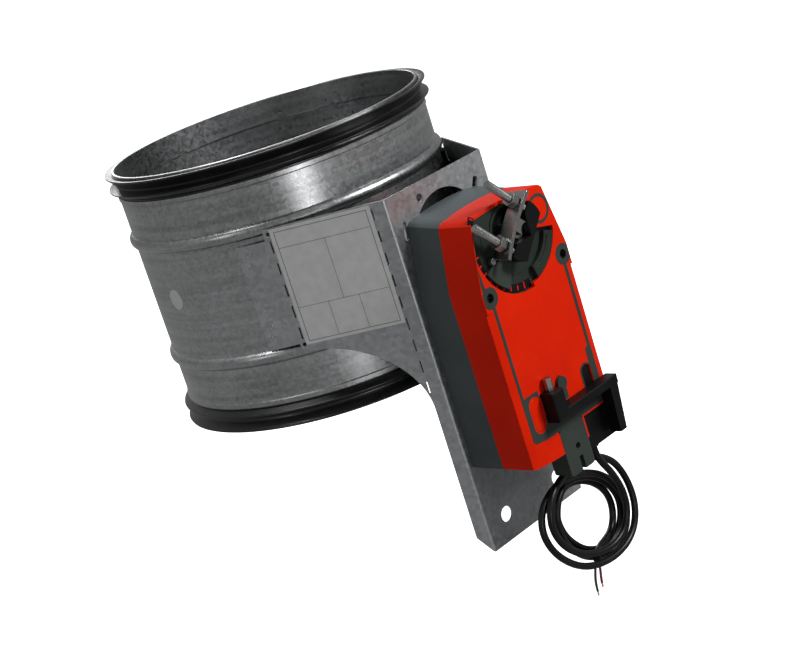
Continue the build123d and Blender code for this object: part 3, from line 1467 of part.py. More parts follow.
with BuildPart() as crank_hexagon:
    with BuildSketch(hexagon_plane) as hexagon_section:
        with Locations(hexagon_place):
            RegularPolygon(hexagon_flats / 2, 6, major_radius=False)
    extrude(amount=hexagon_top - hexagon_bottom)
crank_hexagon.part.label = "crank_hexagon"
export_step(crank_hexagon.part, "parts/crank_hexagon.step")

# Cable: a short drop out of the gland, the coil as one solid, and the two bare core ends
with BuildPart() as cable_lead:
    with BuildSketch(Plane.XY.offset(coil_seat_z)) as cable_section:
        with Locations(gland_place):
            Circle(cable_radius)
    extrude(amount=gland_z + gland_socket_depth - coil_seat_z)
cable_lead.part.label = "cable_lead"
export_step(cable_lead.part, "parts/cable_lead.step")

with BuildPart() as cable_coil:
    with BuildSketch(Plane(origin=(coil_back_x, 0, 0), x_dir=(0, 1, 0), z_dir=(1, 0, 0))) as coil_outline:
        with Locations(coil_place):
            Ellipse(*coil_radii, rotation=coil_tilt)
            Ellipse(*coil_hole_radii, rotation=coil_hole_tilt, mode=Mode.SUBTRACT)
    extrude(amount=coil_front_x - coil_back_x)
    with BuildSketch(Plane.XY.offset(coil_seat_z)) as lead_seat:
        with Locations(gland_place):
            Rectangle(2 * coil_seat_width, coil_seat_width)
    extrude(amount=coil_radii[1], mode=Mode.SUBTRACT)
    with BuildSketch(Plane.XY.offset(wire_seat_z)) as wire_seat:
        with Locations(((coil_back_x + coil_front_x) / 2, wire_seat_place)):
            Rectangle(coil_front_x - coil_back_x, coil_seat_width)
    extrude(amount=-coil_radii[1], mode=Mode.SUBTRACT)
cable_coil.part.label = "cable_coil"
export_step(cable_coil.part, "parts/cable_coil.step")


def bend_radii(points):
    """Radius of the bend at each inner point of a route, 0.45 of its shorter run."""
    radii = []
    for before, here, after in zip(points, points[1:], points[2:]):
        first_run = Vector(*here) - Vector(*before)
        last_run = Vector(*after) - Vector(*here)
        half_turn = radians(first_run.get_angle(last_run)) / 2
        radii.append(0.45 * min(first_run.length, last_run.length) / tan(half_turn))
    return radii


with BuildPart() as wire_black:
    with BuildLine() as black_route:
        FilletPolyline(*black_wire_points, radius=bend_radii(black_wire_points))
    with BuildSketch(Plane(origin=black_route.line @ 0, z_dir=black_route.line % 0)) as black_section:
        Circle(wire_radius)
    sweep()
wire_black.part.label = "wire_black"
export_step(wire_black.part, "parts/wire_black.step")

with BuildPart() as wire_red:
    with BuildLine() as red_route:
        FilletPolyline(*red_wire_points, radius=bend_radii(red_wire_points))
    with BuildSketch(Plane(origin=red_route.line @ 0, z_dir=red_route.line % 0)) as red_section:
        Circle(wire_radius)
    sweep()
wire_red.part.label = "wire_red"
export_step(wire_red.part, "parts/wire_red.step")

for wire, route, points in ((wire_black, black_route, black_wire_points), (wire_red, red_route, red_wire_points)):
    expected = pi * wire_radius**2 * sum(edge.length for edge in route.edges())
    print(wire.part.label, "bend radii", [round(r, 1) for r in bend_radii(points)])
    print("volume", round(wire.part.volume, 2), "section times length", round(expected, 2))
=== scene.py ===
import math

import bpy
from mathutils import Euler, Matrix, Vector


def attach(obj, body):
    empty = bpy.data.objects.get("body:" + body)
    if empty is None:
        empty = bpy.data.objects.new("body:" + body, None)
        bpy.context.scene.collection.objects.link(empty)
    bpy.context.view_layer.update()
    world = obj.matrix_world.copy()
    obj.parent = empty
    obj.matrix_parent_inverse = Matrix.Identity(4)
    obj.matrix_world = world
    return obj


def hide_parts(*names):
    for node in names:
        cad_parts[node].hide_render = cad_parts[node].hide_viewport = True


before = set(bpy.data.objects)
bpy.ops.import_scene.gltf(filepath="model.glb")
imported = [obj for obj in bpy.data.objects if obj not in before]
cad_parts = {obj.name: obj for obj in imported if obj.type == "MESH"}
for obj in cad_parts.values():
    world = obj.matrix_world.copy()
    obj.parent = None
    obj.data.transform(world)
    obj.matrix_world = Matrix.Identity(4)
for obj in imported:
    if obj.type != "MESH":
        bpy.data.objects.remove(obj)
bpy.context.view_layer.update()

# The camera stands where the photograph was taken from, about 1.5 m off, to the front
# left of the drive and a little above the top of the duct, leaning slightly to one side.
camera_data = bpy.data.cameras.new("photo_camera")
camera_data.sensor_width = 36.0
camera_data.lens = 86.486
camera_data.clip_end = 50.0
camera = bpy.data.objects.new("photo_camera", camera_data)
bpy.context.scene.collection.objects.link(camera)
camera.location = (1.1484971, -0.9490575, 0.2198124)
camera.rotation_euler = Euler([math.radians(turn) for turn in (73.9565, 17.1585, 43.536)])
bpy.context.scene.camera = camera
bpy.context.scene.view_settings.view_transform = "Standard"


class Tone:
    """A shader socket that joins in sums like a number; each sum adds its Math node."""

    def __init__(self, finish, socket):
        self.finish = finish
        self.socket = socket

    def maths(self, operation, first, second=0.0):
        settings = {"operation": operation}
        return self.finish.add("ShaderNodeMath", settings, {0: first, 1: second}, "Value")

    def __add__(self, other):
        return self.maths("ADD", self, other)

    __radd__ = __add__

    def __mul__(self, other):
        return self.maths("MULTIPLY", self, other)

    __rmul__ = __mul__


class Finish:
    """A node material, named for what it covers, with one method that adds any node."""

    def __init__(self, name, **sockets):
        self.material = bpy.data.materials.new(name)
        self.material.use_nodes = True
        self.tree = self.material.node_tree
        self.shader = self.tree.nodes["Principled BSDF"]
        for label, value in sockets.items():
            self.shader.inputs[label.replace("_", " ")].default_value = value

    def add(self, kind, settings, values, out):
        node = self.tree.nodes.new(kind)
        for label, value in settings.items():
            setattr(node, label, value)
        for key, value in values.items():
            self.feed(node.inputs[key], value)
        return Tone(self, node.outputs[out])

    def feed(self, socket, value):
        if isinstance(value, Tone):
            self.tree.links.new(value.socket, socket)
        else:
            socket.default_value = value

    def place(self, stretch=(1.0, 1.0, 1.0)):
        spot = self.add("ShaderNodeTexCoord", {}, {}, "Object")
        return self.add("ShaderNodeMapping", {}, {"Vector": spot, "Scale": stretch}, "Vector")

    def cloud(self, scale, detail=3.0, stretch=(1.0, 1.0, 1.0)):
        values = {"Vector": self.place(stretch), "Scale": scale, "Detail": detail}
        return self.add("ShaderNodeTexNoise", {}, values, "Fac")

    def mix(self, share, first, second):
        """Sockets 6 and 7 of a colour Mix are its two colours, and output 2 is the result."""
        values = {0: share, 6: first, 7: second}
        return self.add("ShaderNodeMix", {"data_type": "RGBA"}, values, 2)

    def steps(self, value, low, high):
        """The value spread out so that low becomes 0 and high becomes 1."""
        values = {"Value": value, "From Min": low, "From Max": high}
        return self.add("ShaderNodeMapRange", {}, values, "Result")

    def raised(self, height, strength, depth):
        values = {"Height": height, "Strength": strength, "Distance": depth}
        self.wear("Normal", self.add("ShaderNodeBump", {}, values, "Normal"))

    def wear(self, label, value):
        self.feed(self.shader.inputs[label], value)


# The floor is a plain pale board that lies just below the damper's lowest edge. It glows
# white and throws no light back on the damper, which the lamps and the air light alone.
floor_side = 24.0
floor_height = -0.3985
floor_finish = Finish("pale_floor", Roughness=0.9, Emission_Strength=1.0)
floor_grain = floor_finish.steps(floor_finish.cloud(9.0), 0.3, 0.7)
floor_finish.wear(
    "Base Color",
    floor_finish.mix(floor_grain, (0.93, 0.93, 0.93, 1.0), (0.96, 0.96, 0.96, 1.0)),
)
floor_finish.shader.inputs["Emission Color"].default_value = (1.0, 1.0, 1.0, 1.0)
bpy.ops.object.select_all(action="DESELECT")
bpy.ops.mesh.primitive_grid_add(
    x_subdivisions=8, y_subdivisions=8, size=floor_side, location=(0.0, 0.0, floor_height)
)
floor = bpy.context.object
floor.name = "floor"
floor.data.materials.append(floor_finish.material)
floor.visible_diffuse = False
floor.visible_glossy = False


# Five soft lamps: a strong one to the right of the drive, a tall narrow one on the left, a low
# one in front of the duct, one behind it and one above.
def soft_lamp(name, power, size, spot, aim):
    lamp_data = bpy.data.lights.new(name, "AREA")
    lamp_data.shape = "RECTANGLE"
    lamp_data.size = size[0]
    lamp_data.size_y = size[1]
    lamp_data.energy = power
    lamp = bpy.data.objects.new(name, lamp_data)
    bpy.context.scene.collection.objects.link(lamp)
    lamp.location = spot
    lamp.rotation_euler = (Vector(spot) - Vector(aim)).to_track_quat("Z", "Y").to_euler()


soft_lamp("right_lamp", 52.0, (0.7, 0.7), (1.9, 0.9, 1.2), (0.15, 0.0, -0.2))
soft_lamp("left_lamp", 3.0, (0.22, 0.9), (-0.1, -2.0, 0.9), (0.0, 0.0, -0.1))
soft_lamp("low_lamp", 2.0, (0.20, 0.40), (1.20, -0.62, -0.18), (0.10, -0.04, -0.05))
soft_lamp("back_lamp", 14.0, (0.9, 0.9), (-1.9, 1.1, 0.9), (0.0, 0.0, -0.2))
soft_lamp("top_lamp", 12.0, (0.5, 0.5), (-0.4, -0.5, 1.9), (0.0, 0.0, -0.2))


# The air is white where the camera looks past the damper, grey where shiny metal mirrors it
# and nearly dark as a light of its own.
studio = bpy.data.worlds.new("studio")
studio.use_nodes = True
bpy.context.scene.world = studio
studio_tree = studio.node_tree
seen_air = 1.0
mirrored_air = 0.30
room_air = 0.10


def air(strength):
    """White air of this strength."""
    background = studio_tree.nodes.new("ShaderNodeBackground")
    background.inputs["Color"].default_value = (1.0, 1.0, 1.0, 1.0)
    background.inputs["Strength"].default_value = strength
    return background.outputs["Background"]


def chosen_air(ray_name, otherwise, chosen):
    """The chosen air for rays of this kind, and the other one for the rest."""
    choice = studio_tree.nodes.new("ShaderNodeMixShader")
    studio_tree.links.new(ray_kind.outputs[ray_name], choice.inputs["Fac"])
    studio_tree.links.new(otherwise, choice.inputs[1])
    studio_tree.links.new(chosen, choice.inputs[2])
    return choice.outputs["Shader"]


ray_kind = studio_tree.nodes.new("ShaderNodeLightPath")
unseen_air = chosen_air("Is Glossy Ray", air(room_air), air(mirrored_air))
whole_air = chosen_air("Is Camera Ray", unseen_air, air(seen_air))
studio_tree.links.new(whole_air, studio_tree.nodes["World Output"].inputs["Surface"])


# The lead is one black round cable, about a metre of it. It drops out of the gland under the
# terminal housing and hangs there in a loose coil of some four and a half turns, no two
# of them the same size, and ends just below the coil with its two cores bared.
sheath_finish = Finish("cable_sheath", Roughness=0.34, Specular_IOR_Level=0.3)
sheath_marks = sheath_finish.cloud(600.0, 2.0)
sheath_dust = sheath_finish.steps(sheath_finish.cloud(60.0), 0.45, 0.75)
sheath_finish.wear(
    "Base Color",
    sheath_finish.mix(sheath_dust, (0.002, 0.002, 0.002, 1.0), (0.008, 0.008, 0.008, 1.0)),
)
sheath_finish.wear("Roughness", 0.26 + 0.2 * sheath_marks)
sheath_finish.raised(sheath_marks, 0.15, 0.0002)

cable_diameter = 0.0055
cable_exit = (0.2110, 0.0300, -0.2875)
cable_turns = [
    cable_exit,
    (0.2110, 0.0300, -0.2940),
    (0.2117, 0.0330, -0.3020),
    (0.2128, 0.0400, -0.3150),
    (0.2135, 0.0450, -0.3325),
    (0.2130, 0.0435, -0.3500),
    (0.2125, 0.0320, -0.3620),
    (0.2125, 0.0120, -0.3650),
    (0.2120, -0.0115, -0.3575),
    (0.2120, -0.0300, -0.3415),
    (0.2120, -0.0375, -0.3240),
    (0.2120, -0.0350, -0.3095),
    (0.2105, -0.0245, -0.2985),
    (0.2080, -0.0055, -0.2930),
    (0.2052, 0.0230, -0.2930),
    (0.2050, 0.0500, -0.3060),
    (0.2060, 0.0610, -0.3290),
    (0.2085, 0.0590, -0.3540),
    (0.2105, 0.0430, -0.3705),
    (0.2115, 0.0155, -0.3745),
    (0.2105, -0.0140, -0.3670),
    (0.2090, -0.0355, -0.3480),
    (0.2070, -0.0440, -0.3265),
    (0.2060, -0.0380, -0.3085),
    (0.2050, -0.0205, -0.2995),
    (0.2040, -0.0010, -0.2985),
    (0.2040, 0.0200, -0.3040),
    (0.2045, 0.0395, -0.3160),
    (0.2050, 0.0515, -0.3355),
    (0.2040, 0.0525, -0.3550),
    (0.2025, 0.0445, -0.3700),
    (0.2005, 0.0250, -0.3765),
    (0.1995, 0.0010, -0.3675),
    (0.2005, -0.0165, -0.3485),
    (0.2020, -0.0215, -0.3305),
    (0.2025, -0.0185, -0.3180),
    (0.2015, -0.0105, -0.3090),
    (0.1995, 0.0040, -0.3040),
    (0.1988, 0.0235, -0.3090),
    (0.1990, 0.0420, -0.3215),
    (0.1995, 0.0525, -0.3385),
    (0.1982, 0.0525, -0.3545),
    (0.1972, 0.0440, -0.3670),
    (0.1962, 0.0270, -0.3720),
    (0.1965, 0.0055, -0.3635),
    (0.1975, -0.0095, -0.3475),
    (0.1975, -0.0155, -0.3330),
    (0.1970, -0.0140, -0.3205),
    (0.1957, -0.0050, -0.3115),
    (0.1943, 0.0095, -0.3085),
    (0.1943, 0.0280, -0.3150),
    (0.1943, 0.0425, -0.3275),
    (0.1943, 0.0485, -0.3405),
    (0.1943, 0.0475, -0.3530),
    (0.1957, 0.0400, -0.3620),
    (0.1990, 0.0270, -0.3645),
    (0.2020, 0.0150, -0.3640),
    (0.2048, 0.0070, -0.3668),
    (0.2058, 0.0030, -0.3735),
]


def drawn_wire(name, points, thickness, finish):
    """A round wire drawn along one smooth line; its order is set once its points are in."""
    line = bpy.data.curves.new(name, "CURVE")
    line.dimensions = "3D"
    line.bevel_depth = thickness / 2
    line.bevel_resolution = 5
    line.resolution_u = 8
    line.use_fill_caps = True
    spline = line.splines.new("NURBS")
    spline.points.add(len(points) - 1)
    for knot, point in zip(spline.points, points):
        knot.co = (*point, 1.0)
    spline.order_u = 3
    spline.use_endpoint_u = True
    wire = bpy.data.objects.new(name, line)
    bpy.context.scene.collection.objects.link(wire)
    wire.data.materials.append(finish.material)
    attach(wire, "casing")
    return wire


cable = drawn_wire("cable", cable_turns, cable_diameter, sheath_finish)
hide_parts("cable_lead", "cable_coil")


# The two cores come out of the sheath's end, one black and one red, each a thin stranded
# copper wire in its own plastic skin, cut to different lengths with the copper bared.
def core_finish(name, colour, worn):
    finish = Finish(name, Roughness=0.4)
    marks = finish.cloud(900.0, 2.0)
    finish.wear("Base Color", finish.mix(finish.steps(marks, 0.35, 0.7), colour, worn))
    finish.raised(marks, 0.1, 0.0001)
    return finish


core_black_finish = core_finish("core_black", (0.006, 0.006, 0.006, 1.0), (0.02, 0.02, 0.02, 1.0))
core_red_finish = core_finish("core_red", (0.16, 0.004, 0.008, 1.0), (0.26, 0.012, 0.016, 1.0))
copper_finish = Finish("bare_copper", Metallic=1.0, Roughness=0.3)
copper_marks = copper_finish.steps(copper_finish.cloud(1500.0, 2.0), 0.3, 0.7)
copper_finish.wear(
    "Base Color",
    copper_finish.mix(copper_marks, (0.66, 0.27, 0.11, 1.0), (0.82, 0.42, 0.2, 1.0)),
)
copper_finish.raised(copper_marks, 0.2, 0.0001)

core_thickness = 0.0020
black_core = drawn_wire(
    "black_core",
    [
        (0.2052, 0.0020, -0.3710),
        (0.2047, 0.0006, -0.3760),
        (0.2045, -0.0016, -0.3812),
        (0.2045, -0.0032, -0.3868),
        (0.2045, -0.0035, -0.3925),
    ],
    core_thickness,
    core_black_finish,
)
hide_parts("wire_black")
red_core = drawn_wire(
    "red_core",
    [
        (0.2066, 0.0033, -0.3712),
        (0.2074, 0.0034, -0.3750),
        (0.2075, 0.0022, -0.3790),
        (0.2075, 0.0011, -0.3830),
        (0.2075, 0.0004, -0.3872),
    ],
    core_thickness,
    core_red_finish,
)
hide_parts("wire_red")

strand_thickness = 0.0004
strand_count = 5
strand_turn = math.radians(360 / strand_count)
first_turn = math.radians(20)
hidden_end = Vector((0.0, 0.0, 0.001))
root_splay = 0.00045
middle_splay = 0.0005
tip_splay = 0.0009
longest_share = 0.92
shorter_share = 0.05
for core_name, end, reach in (
    ("black", Vector((0.2045, -0.0035, -0.3925)), 0.0044),
    ("red", Vector((0.2075, 0.0004, -0.3872)), 0.0042),
):
    for count in range(strand_count):
        lean = strand_turn * count + first_turn
        splay = Vector((math.cos(lean), math.sin(lean), 0.0))
        drop = reach * (longest_share - shorter_share * (count % 3))
        start = end + splay * root_splay + hidden_end
        middle = end + splay * middle_splay - Vector((0.0, 0.0, reach * 0.5))
        tip = end + splay * tip_splay - Vector((0.0, 0.0, drop))
        strand = drawn_wire(
            f"{core_name}_strand_{count + 1}",
            [start, middle, tip],
            strand_thickness,
            copper_finish,
        )


# The duct is one sheet of spangled zinc-coated steel, rolled, seamed along its length behind
# the console and pressed with two beads. Its zinc shows large faint crystals and the long
# bright and dark streaks that the rolls left.
def joined_copy(node_name, body, finish, rounding=0.0, turn=35.0):
    """The node's own mesh with its loose triangles joined, its edges rounded and shaded."""
    bpy.ops.object.select_all(action="DESELECT")
    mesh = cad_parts[node_name].data.copy()
    mesh.materials.clear()
    mesh.materials.append(finish.material)
    piece = bpy.data.objects.new(node_name + "_finished", mesh)
    bpy.context.scene.collection.objects.link(piece)
    piece.select_set(True)
    bpy.context.view_layer.objects.active = piece
    bpy.ops.object.mode_set(mode="EDIT")
    bpy.ops.mesh.select_all(action="SELECT")
    bpy.ops.mesh.remove_doubles(threshold=0.000002)
    if rounding:
        bpy.ops.mesh.dissolve_limited(angle_limit=math.radians(1.0))
    bpy.ops.object.mode_set(mode="OBJECT")
    if rounding:
        edge = piece.modifiers.new("rounded_edges", "BEVEL")
        edge.width = rounding
        edge.segments = 2
        edge.limit_method = "ANGLE"
        edge.angle_limit = math.radians(turn)
        edge.harden_normals = False
        bpy.ops.object.modifier_apply(modifier=edge.name)
    bpy.ops.object.shade_smooth_by_angle(angle=math.radians(turn))
    if rounding:
        flats = piece.modifiers.new("flat_faces", "WEIGHTED_NORMAL")
        flats.keep_sharp = True
        bpy.ops.object.modifier_apply(modifier=flats.name)
    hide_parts(node_name)
    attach(piece, body)
    return piece


def coat(finish, *node_names):
    """The finish goes on CAD nodes that already have the right shape."""
    for node_name in node_names:
        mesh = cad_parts[node_name].data
        mesh.materials.clear()
        mesh.materials.append(finish.material)


def zinc_finish(name, dark, light, streak_share, crystal_size, rough):
    finish = Finish(name, Metallic=1.0, Roughness=rough)
    crystal_values = {"Vector": finish.place(), "Scale": 1 / crystal_size}
    crystals = finish.add("ShaderNodeTexVoronoi", {}, crystal_values, "Color")
    crystal = finish.add("ShaderNodeSeparateColor", {}, {"Color": crystals}, "Red")
    streaks = finish.steps(finish.cloud(230.0, 4.0, (0.03, 0.03, 1.0)), 0.35, 0.65)
    stains = finish.steps(finish.cloud(11.0, 4.0), 0.35, 0.7)
    share = streak_share * streaks + (0.9 - streak_share) * 0.45 * crystal + 0.3 * stains
    finish.wear("Base Color", finish.mix(share, dark, light))
    finish.wear("Roughness", rough - 0.05 + 0.1 * crystal + 0.06 * stains)
    fine = finish.cloud(900.0, 2.0, (1.0, 1.0, 0.1))
    finish.raised(0.6 * crystal + 0.4 * fine, 0.06, 0.0006)
    return finish


duct_zinc = zinc_finish(
    "spangled_zinc", (0.22, 0.225, 0.225, 1.0), (0.56, 0.57, 0.58, 1.0), 0.28, 0.0022, 0.30
)


def turned_ring(name, section, steps=224):
    """A closed section drawn point by point from one vertex, then spun round the duct's axis."""
    bpy.ops.object.select_all(action="DESELECT")
    bpy.ops.mesh.primitive_plane_add(size=0.001, location=(section[0][0], 0.0, section[0][1]))
    ring = bpy.context.object
    ring.name = name
    bpy.ops.object.transform_apply(location=True, rotation=True, scale=True)
    bpy.ops.object.mode_set(mode="EDIT")
    bpy.ops.mesh.select_all(action="SELECT")
    bpy.ops.mesh.merge(type="CENTER")
    for (last_r, last_z), (next_r, next_z) in zip(section, [*section[1:], section[0]]):
        bpy.ops.mesh.extrude_vertices_move(
            TRANSFORM_OT_translate={"value": (next_r - last_r, 0.0, next_z - last_z)}
        )
    bpy.ops.mesh.select_all(action="SELECT")
    bpy.ops.mesh.spin(
        steps=steps, angle=2 * math.pi, center=(0.0, 0.0, section[0][1]), axis=(0.0, 0.0, 1.0)
    )
    bpy.ops.mesh.select_all(action="SELECT")
    bpy.ops.mesh.remove_doubles(threshold=0.000004)
    bpy.ops.mesh.normals_make_consistent(inside=False)
    bpy.ops.object.mode_set(mode="OBJECT")
    return ring


duct_radius = 0.1246
duct_wall = 0.0008
duct_length = 0.207
bead_middle = -0.0555
bead_rise = 0.0035
bead_half = 0.005
bead_bend = (bead_half**2 + bead_rise**2) / (2 * bead_rise)
bead_reach = math.asin(bead_half / bead_bend)


def bead_arc(radius, middle, downwards):
    """Points of a bead's arc on a wall of this radius."""
    arc = []
    for step in range(9):
        lean = bead_reach * (1 - step / 4) * (1 if downwards else -1)
        out = radius + bead_rise - bead_bend + bead_bend * math.cos(lean)
        arc.append((out, middle + bead_bend * math.sin(lean)))
    return arc


def flipped(section):
    """The same section at the duct's other end."""
    return [(radius, -duct_length - height) for radius, height in reversed(section)]


spigot_outside = [
    (duct_radius - 0.0025, -0.0004),
    (duct_radius - 0.0021, 0.0),
    (duct_radius - 0.0006, 0.0),
    (duct_radius - 0.0002, -0.0004),
    (duct_radius - 0.0002, -0.0022),
    (duct_radius - 0.0017, -0.0022),
    (duct_radius - 0.0017, -0.0185),
    (duct_radius + 0.0005, -0.0185),
    (duct_radius + 0.0008, -0.0188),
    (duct_radius + 0.0008, -0.0220),
    (duct_radius + 0.0004, -0.0224),
    (duct_radius, -0.0228),
]
spigot_inside = [
    (duct_radius - duct_wall, -0.0210),
    (duct_radius - 0.0025, -0.0193),
]
upper_inside = list(reversed(bead_arc(duct_radius - duct_wall, bead_middle, True)))
duct_section = [
    *spigot_outside,
    *bead_arc(duct_radius, bead_middle, True),
    *flipped(bead_arc(duct_radius, bead_middle, True)),
    *flipped(spigot_outside),
    *flipped(spigot_inside),
    *flipped(upper_inside),
    *upper_inside,
    *spigot_inside,
]
duct_skin = turned_ring("duct_skin", duct_section)

shaft_height = -0.1035
bush_hole = 0.0100
cutter_length = 0.3
bpy.ops.object.select_all(action="DESELECT")
bpy.ops.mesh.primitive_cylinder_add(
    vertices=48,
    radius=bush_hole,
    depth=cutter_length,
    location=(0.0, 0.0, shaft_height),
    rotation=(0.0, math.pi / 2, 0.0),
)
hole_cutter = bpy.context.object
bpy.context.view_layer.objects.active = duct_skin
shaft_holes = duct_skin.modifiers.new("shaft_holes", "BOOLEAN")
shaft_holes.operation = "DIFFERENCE"
shaft_holes.object = hole_cutter
bpy.ops.object.modifier_apply(modifier=shaft_holes.name)
bpy.data.objects.remove(hole_cutter)
duct_skin.select_set(True)
bpy.ops.object.shade_smooth_by_angle(angle=math.radians(38))
duct_skin.data.materials.append(duct_zinc.material)
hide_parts("duct_shell")
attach(duct_skin, "casing")


# A black rubber ring with two soft lips sits in a groove at each end of the duct, so that
# a pipe can be pushed on without screws or paste. It is moulded, smooth and a little shiny.
lip_rubber = Finish("lip_rubber", Roughness=0.3, Coat_Weight=0.1, Coat_Roughness=0.2)
lip_marks = lip_rubber.cloud(180.0, 3.0, (1.0, 1.0, 2.0))
lip_dust = lip_rubber.steps(lip_rubber.cloud(25.0, 5.0), 0.5, 0.8)
lip_rubber.wear(
    "Base Color",
    lip_rubber.mix(lip_dust, (0.003, 0.003, 0.003, 1.0), (0.014, 0.014, 0.013, 1.0)),
)
lip_rubber.wear("Roughness", 0.22 + 0.2 * lip_marks + 0.1 * lip_dust)
lip_rubber.raised(lip_marks, 0.12, 0.0004)
seal_back = duct_radius - 0.00165
seal_root = duct_radius - 0.0002
lip_edge = duct_radius + 0.0056
seal_section = [
    (seal_back, -0.00225),
    (seal_root, -0.00225),
    (seal_root, -0.0026),
    (lip_edge - 0.0008, -0.0012),
    (lip_edge - 0.0002, -0.0014),
    (lip_edge, -0.0020),
    (lip_edge - 0.0002, -0.0026),
    (lip_edge - 0.0009, -0.0030),
    (seal_root + 0.0012, -0.0075),
    (seal_root, -0.0088),
    (seal_root, -0.0100),
    (lip_edge - 0.0008, -0.0126),
    (lip_edge - 0.0002, -0.0128),
    (lip_edge, -0.0134),
    (lip_edge - 0.0002, -0.0140),
    (lip_edge - 0.0009, -0.0144),
    (seal_root + 0.0012, -0.0166),
    (seal_root, -0.0175),
    (seal_root, -0.01845),
    (seal_back, -0.01845),
]
for seal_name, section in (("upper_seal", seal_section), ("lower_seal", flipped(seal_section))):
    seal_ring = turned_ring(f"{seal_name}_ring", section)
    bpy.ops.object.shade_smooth_by_angle(angle=math.radians(50))
    seal_ring.data.materials.append(lip_rubber.material)
    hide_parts(seal_name)
    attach(seal_ring, "casing")
joined_copy("shaft_seal", "casing", lip_rubber)


# The console that carries the drive is a bent zinc-coated sheet with a folded flange on each
# side, spot welded to the duct; slots along the folds let insulation be laced to it.
console_zinc = zinc_finish(
    "console_zinc", (0.30, 0.315, 0.32, 1.0), (0.53, 0.55, 0.565, 1.0), 0.06, 0.003, 0.42
)
joined_copy("console", "casing", console_zinc, 0.00025)


# Two pairs of spot welds hold each of the console's end tabs to the duct; every weld left a
# small dished mark with a raised rim in the sheet.
fold_edge = Vector((0.0823, -0.1005, 0.0))
tab_run = Vector((-0.9033, -0.4289, 0.0))
tab_out = Vector((0.4289, -0.9033, 0.0))
weld_radius = 0.0022
weld_rise = 0.0003
weld_places = ((0.0185, -0.0720), (0.0215, -0.0800), (0.0190, -0.1280), (0.0220, -0.1365))
bpy.ops.object.select_all(action="DESELECT")
bpy.ops.mesh.primitive_circle_add(vertices=28, radius=weld_radius, fill_type="NGON")
weld_mark = bpy.context.object
bpy.ops.object.mode_set(mode="EDIT")
bpy.ops.mesh.select_all(action="SELECT")
for rise, narrow in ((weld_rise, 0.86), (0.0, 0.82), (-weld_rise * 0.7, 0.75), (0.0, 0.5)):
    bpy.ops.mesh.extrude_region_move(TRANSFORM_OT_translate={"value": (0.0, 0.0, rise)})
    bpy.ops.transform.resize(value=(narrow, narrow, 1.0))
bpy.ops.object.mode_set(mode="OBJECT")
bpy.ops.object.shade_smooth()
weld_marks = []
for side in (1, -1):
    for along, height in weld_places:
        mark = weld_mark.copy()
        mark.data = weld_mark.data.copy()
        bpy.context.scene.collection.objects.link(mark)
        seat = Matrix.Identity(4)
        spot = fold_edge + tab_run * along
        seat.col[0] = (tab_run.x, tab_run.y * side, 0.0, 0.0)
        seat.col[1] = (0.0, 0.0, float(side), 0.0)
        seat.col[2] = (tab_out.x, tab_out.y * side, 0.0, 0.0)
        seat.col[3] = (spot.x, spot.y * side, height, 1.0)
        mark.matrix_world = seat
        weld_marks.append(mark)
bpy.data.objects.remove(weld_mark)
bpy.ops.object.select_all(action="DESELECT")
for mark in weld_marks:
    mark.select_set(True)
bpy.context.view_layer.objects.active = weld_marks[0]
bpy.ops.object.join()
bpy.ops.object.transform_apply(location=True, rotation=True, scale=True)
weld_marks[0].name = "spot_welds"
weld_marks[0].data.materials.clear()
weld_marks[0].data.materials.append(console_zinc.material)
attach(weld_marks[0], "casing")


# The rating label on the flange is left without words: a white film with a thin grey frame
# and plain ruled boxes. A round white sticker marks the duct's side.
label_film = Finish("label_film", Roughness=0.5, Coat_Weight=0.1)
film_marks = label_film.cloud(140.0, 4.0)
film_wear = label_film.steps(film_marks, 0.35, 0.75)
label_film.wear(
    "Base Color",
    label_film.mix(film_wear, (0.80, 0.81, 0.80, 1.0), (0.70, 0.71, 0.70, 1.0)),
)
label_film.raised(film_marks, 0.05, 0.0002)
coat(label_film, "flange_label", "round_sticker")

print_ink = Finish("grey_print", Roughness=0.6)
ink_marks = print_ink.steps(print_ink.cloud(800.0, 2.0), 0.3, 0.7)
print_ink.wear(
    "Base Color",
    print_ink.mix(ink_marks, (0.09, 0.09, 0.092, 1.0), (0.16, 0.16, 0.162, 1.0)),
)
print_ink.raised(ink_marks, 0.05, 0.0001)

plate_edge = Vector((0.1638, -0.0537, 0.0))
flange_run = Vector((-0.8672, -0.4980, 0.0))
flange_out = Vector((0.4980, -0.8672, 0.0))
film_face = 0.00030


def printed_rule(name, near, far, upper, lower):
    """A flat printed rule between two distances from the plate and two heights."""
    bpy.ops.object.select_all(action="DESELECT")
    bpy.ops.mesh.primitive_grid_add(x_subdivisions=2, y_subdivisions=2, size=1.0)
    rule = bpy.context.object
    rule.name = name
    middle = plate_edge + flange_run * (near + far) / 2 + flange_out * film_face
    middle.z = (upper + lower) / 2
    across = flange_run * (far - near)
    rise = Vector((0.0, 0.0, 1.0)) * (upper - lower)
    seat = Matrix.Identity(4)
    seat.col[0] = (*across, 0.0)
    seat.col[1] = (*rise, 0.0)
    seat.col[2] = (*flange_out, 0.0)
    seat.col[3] = (*middle, 1.0)
    rule.matrix_world = seat
    bpy.ops.object.transform_apply(location=True, rotation=True, scale=True)
    rule.data.materials.append(print_ink.material)
    return rule


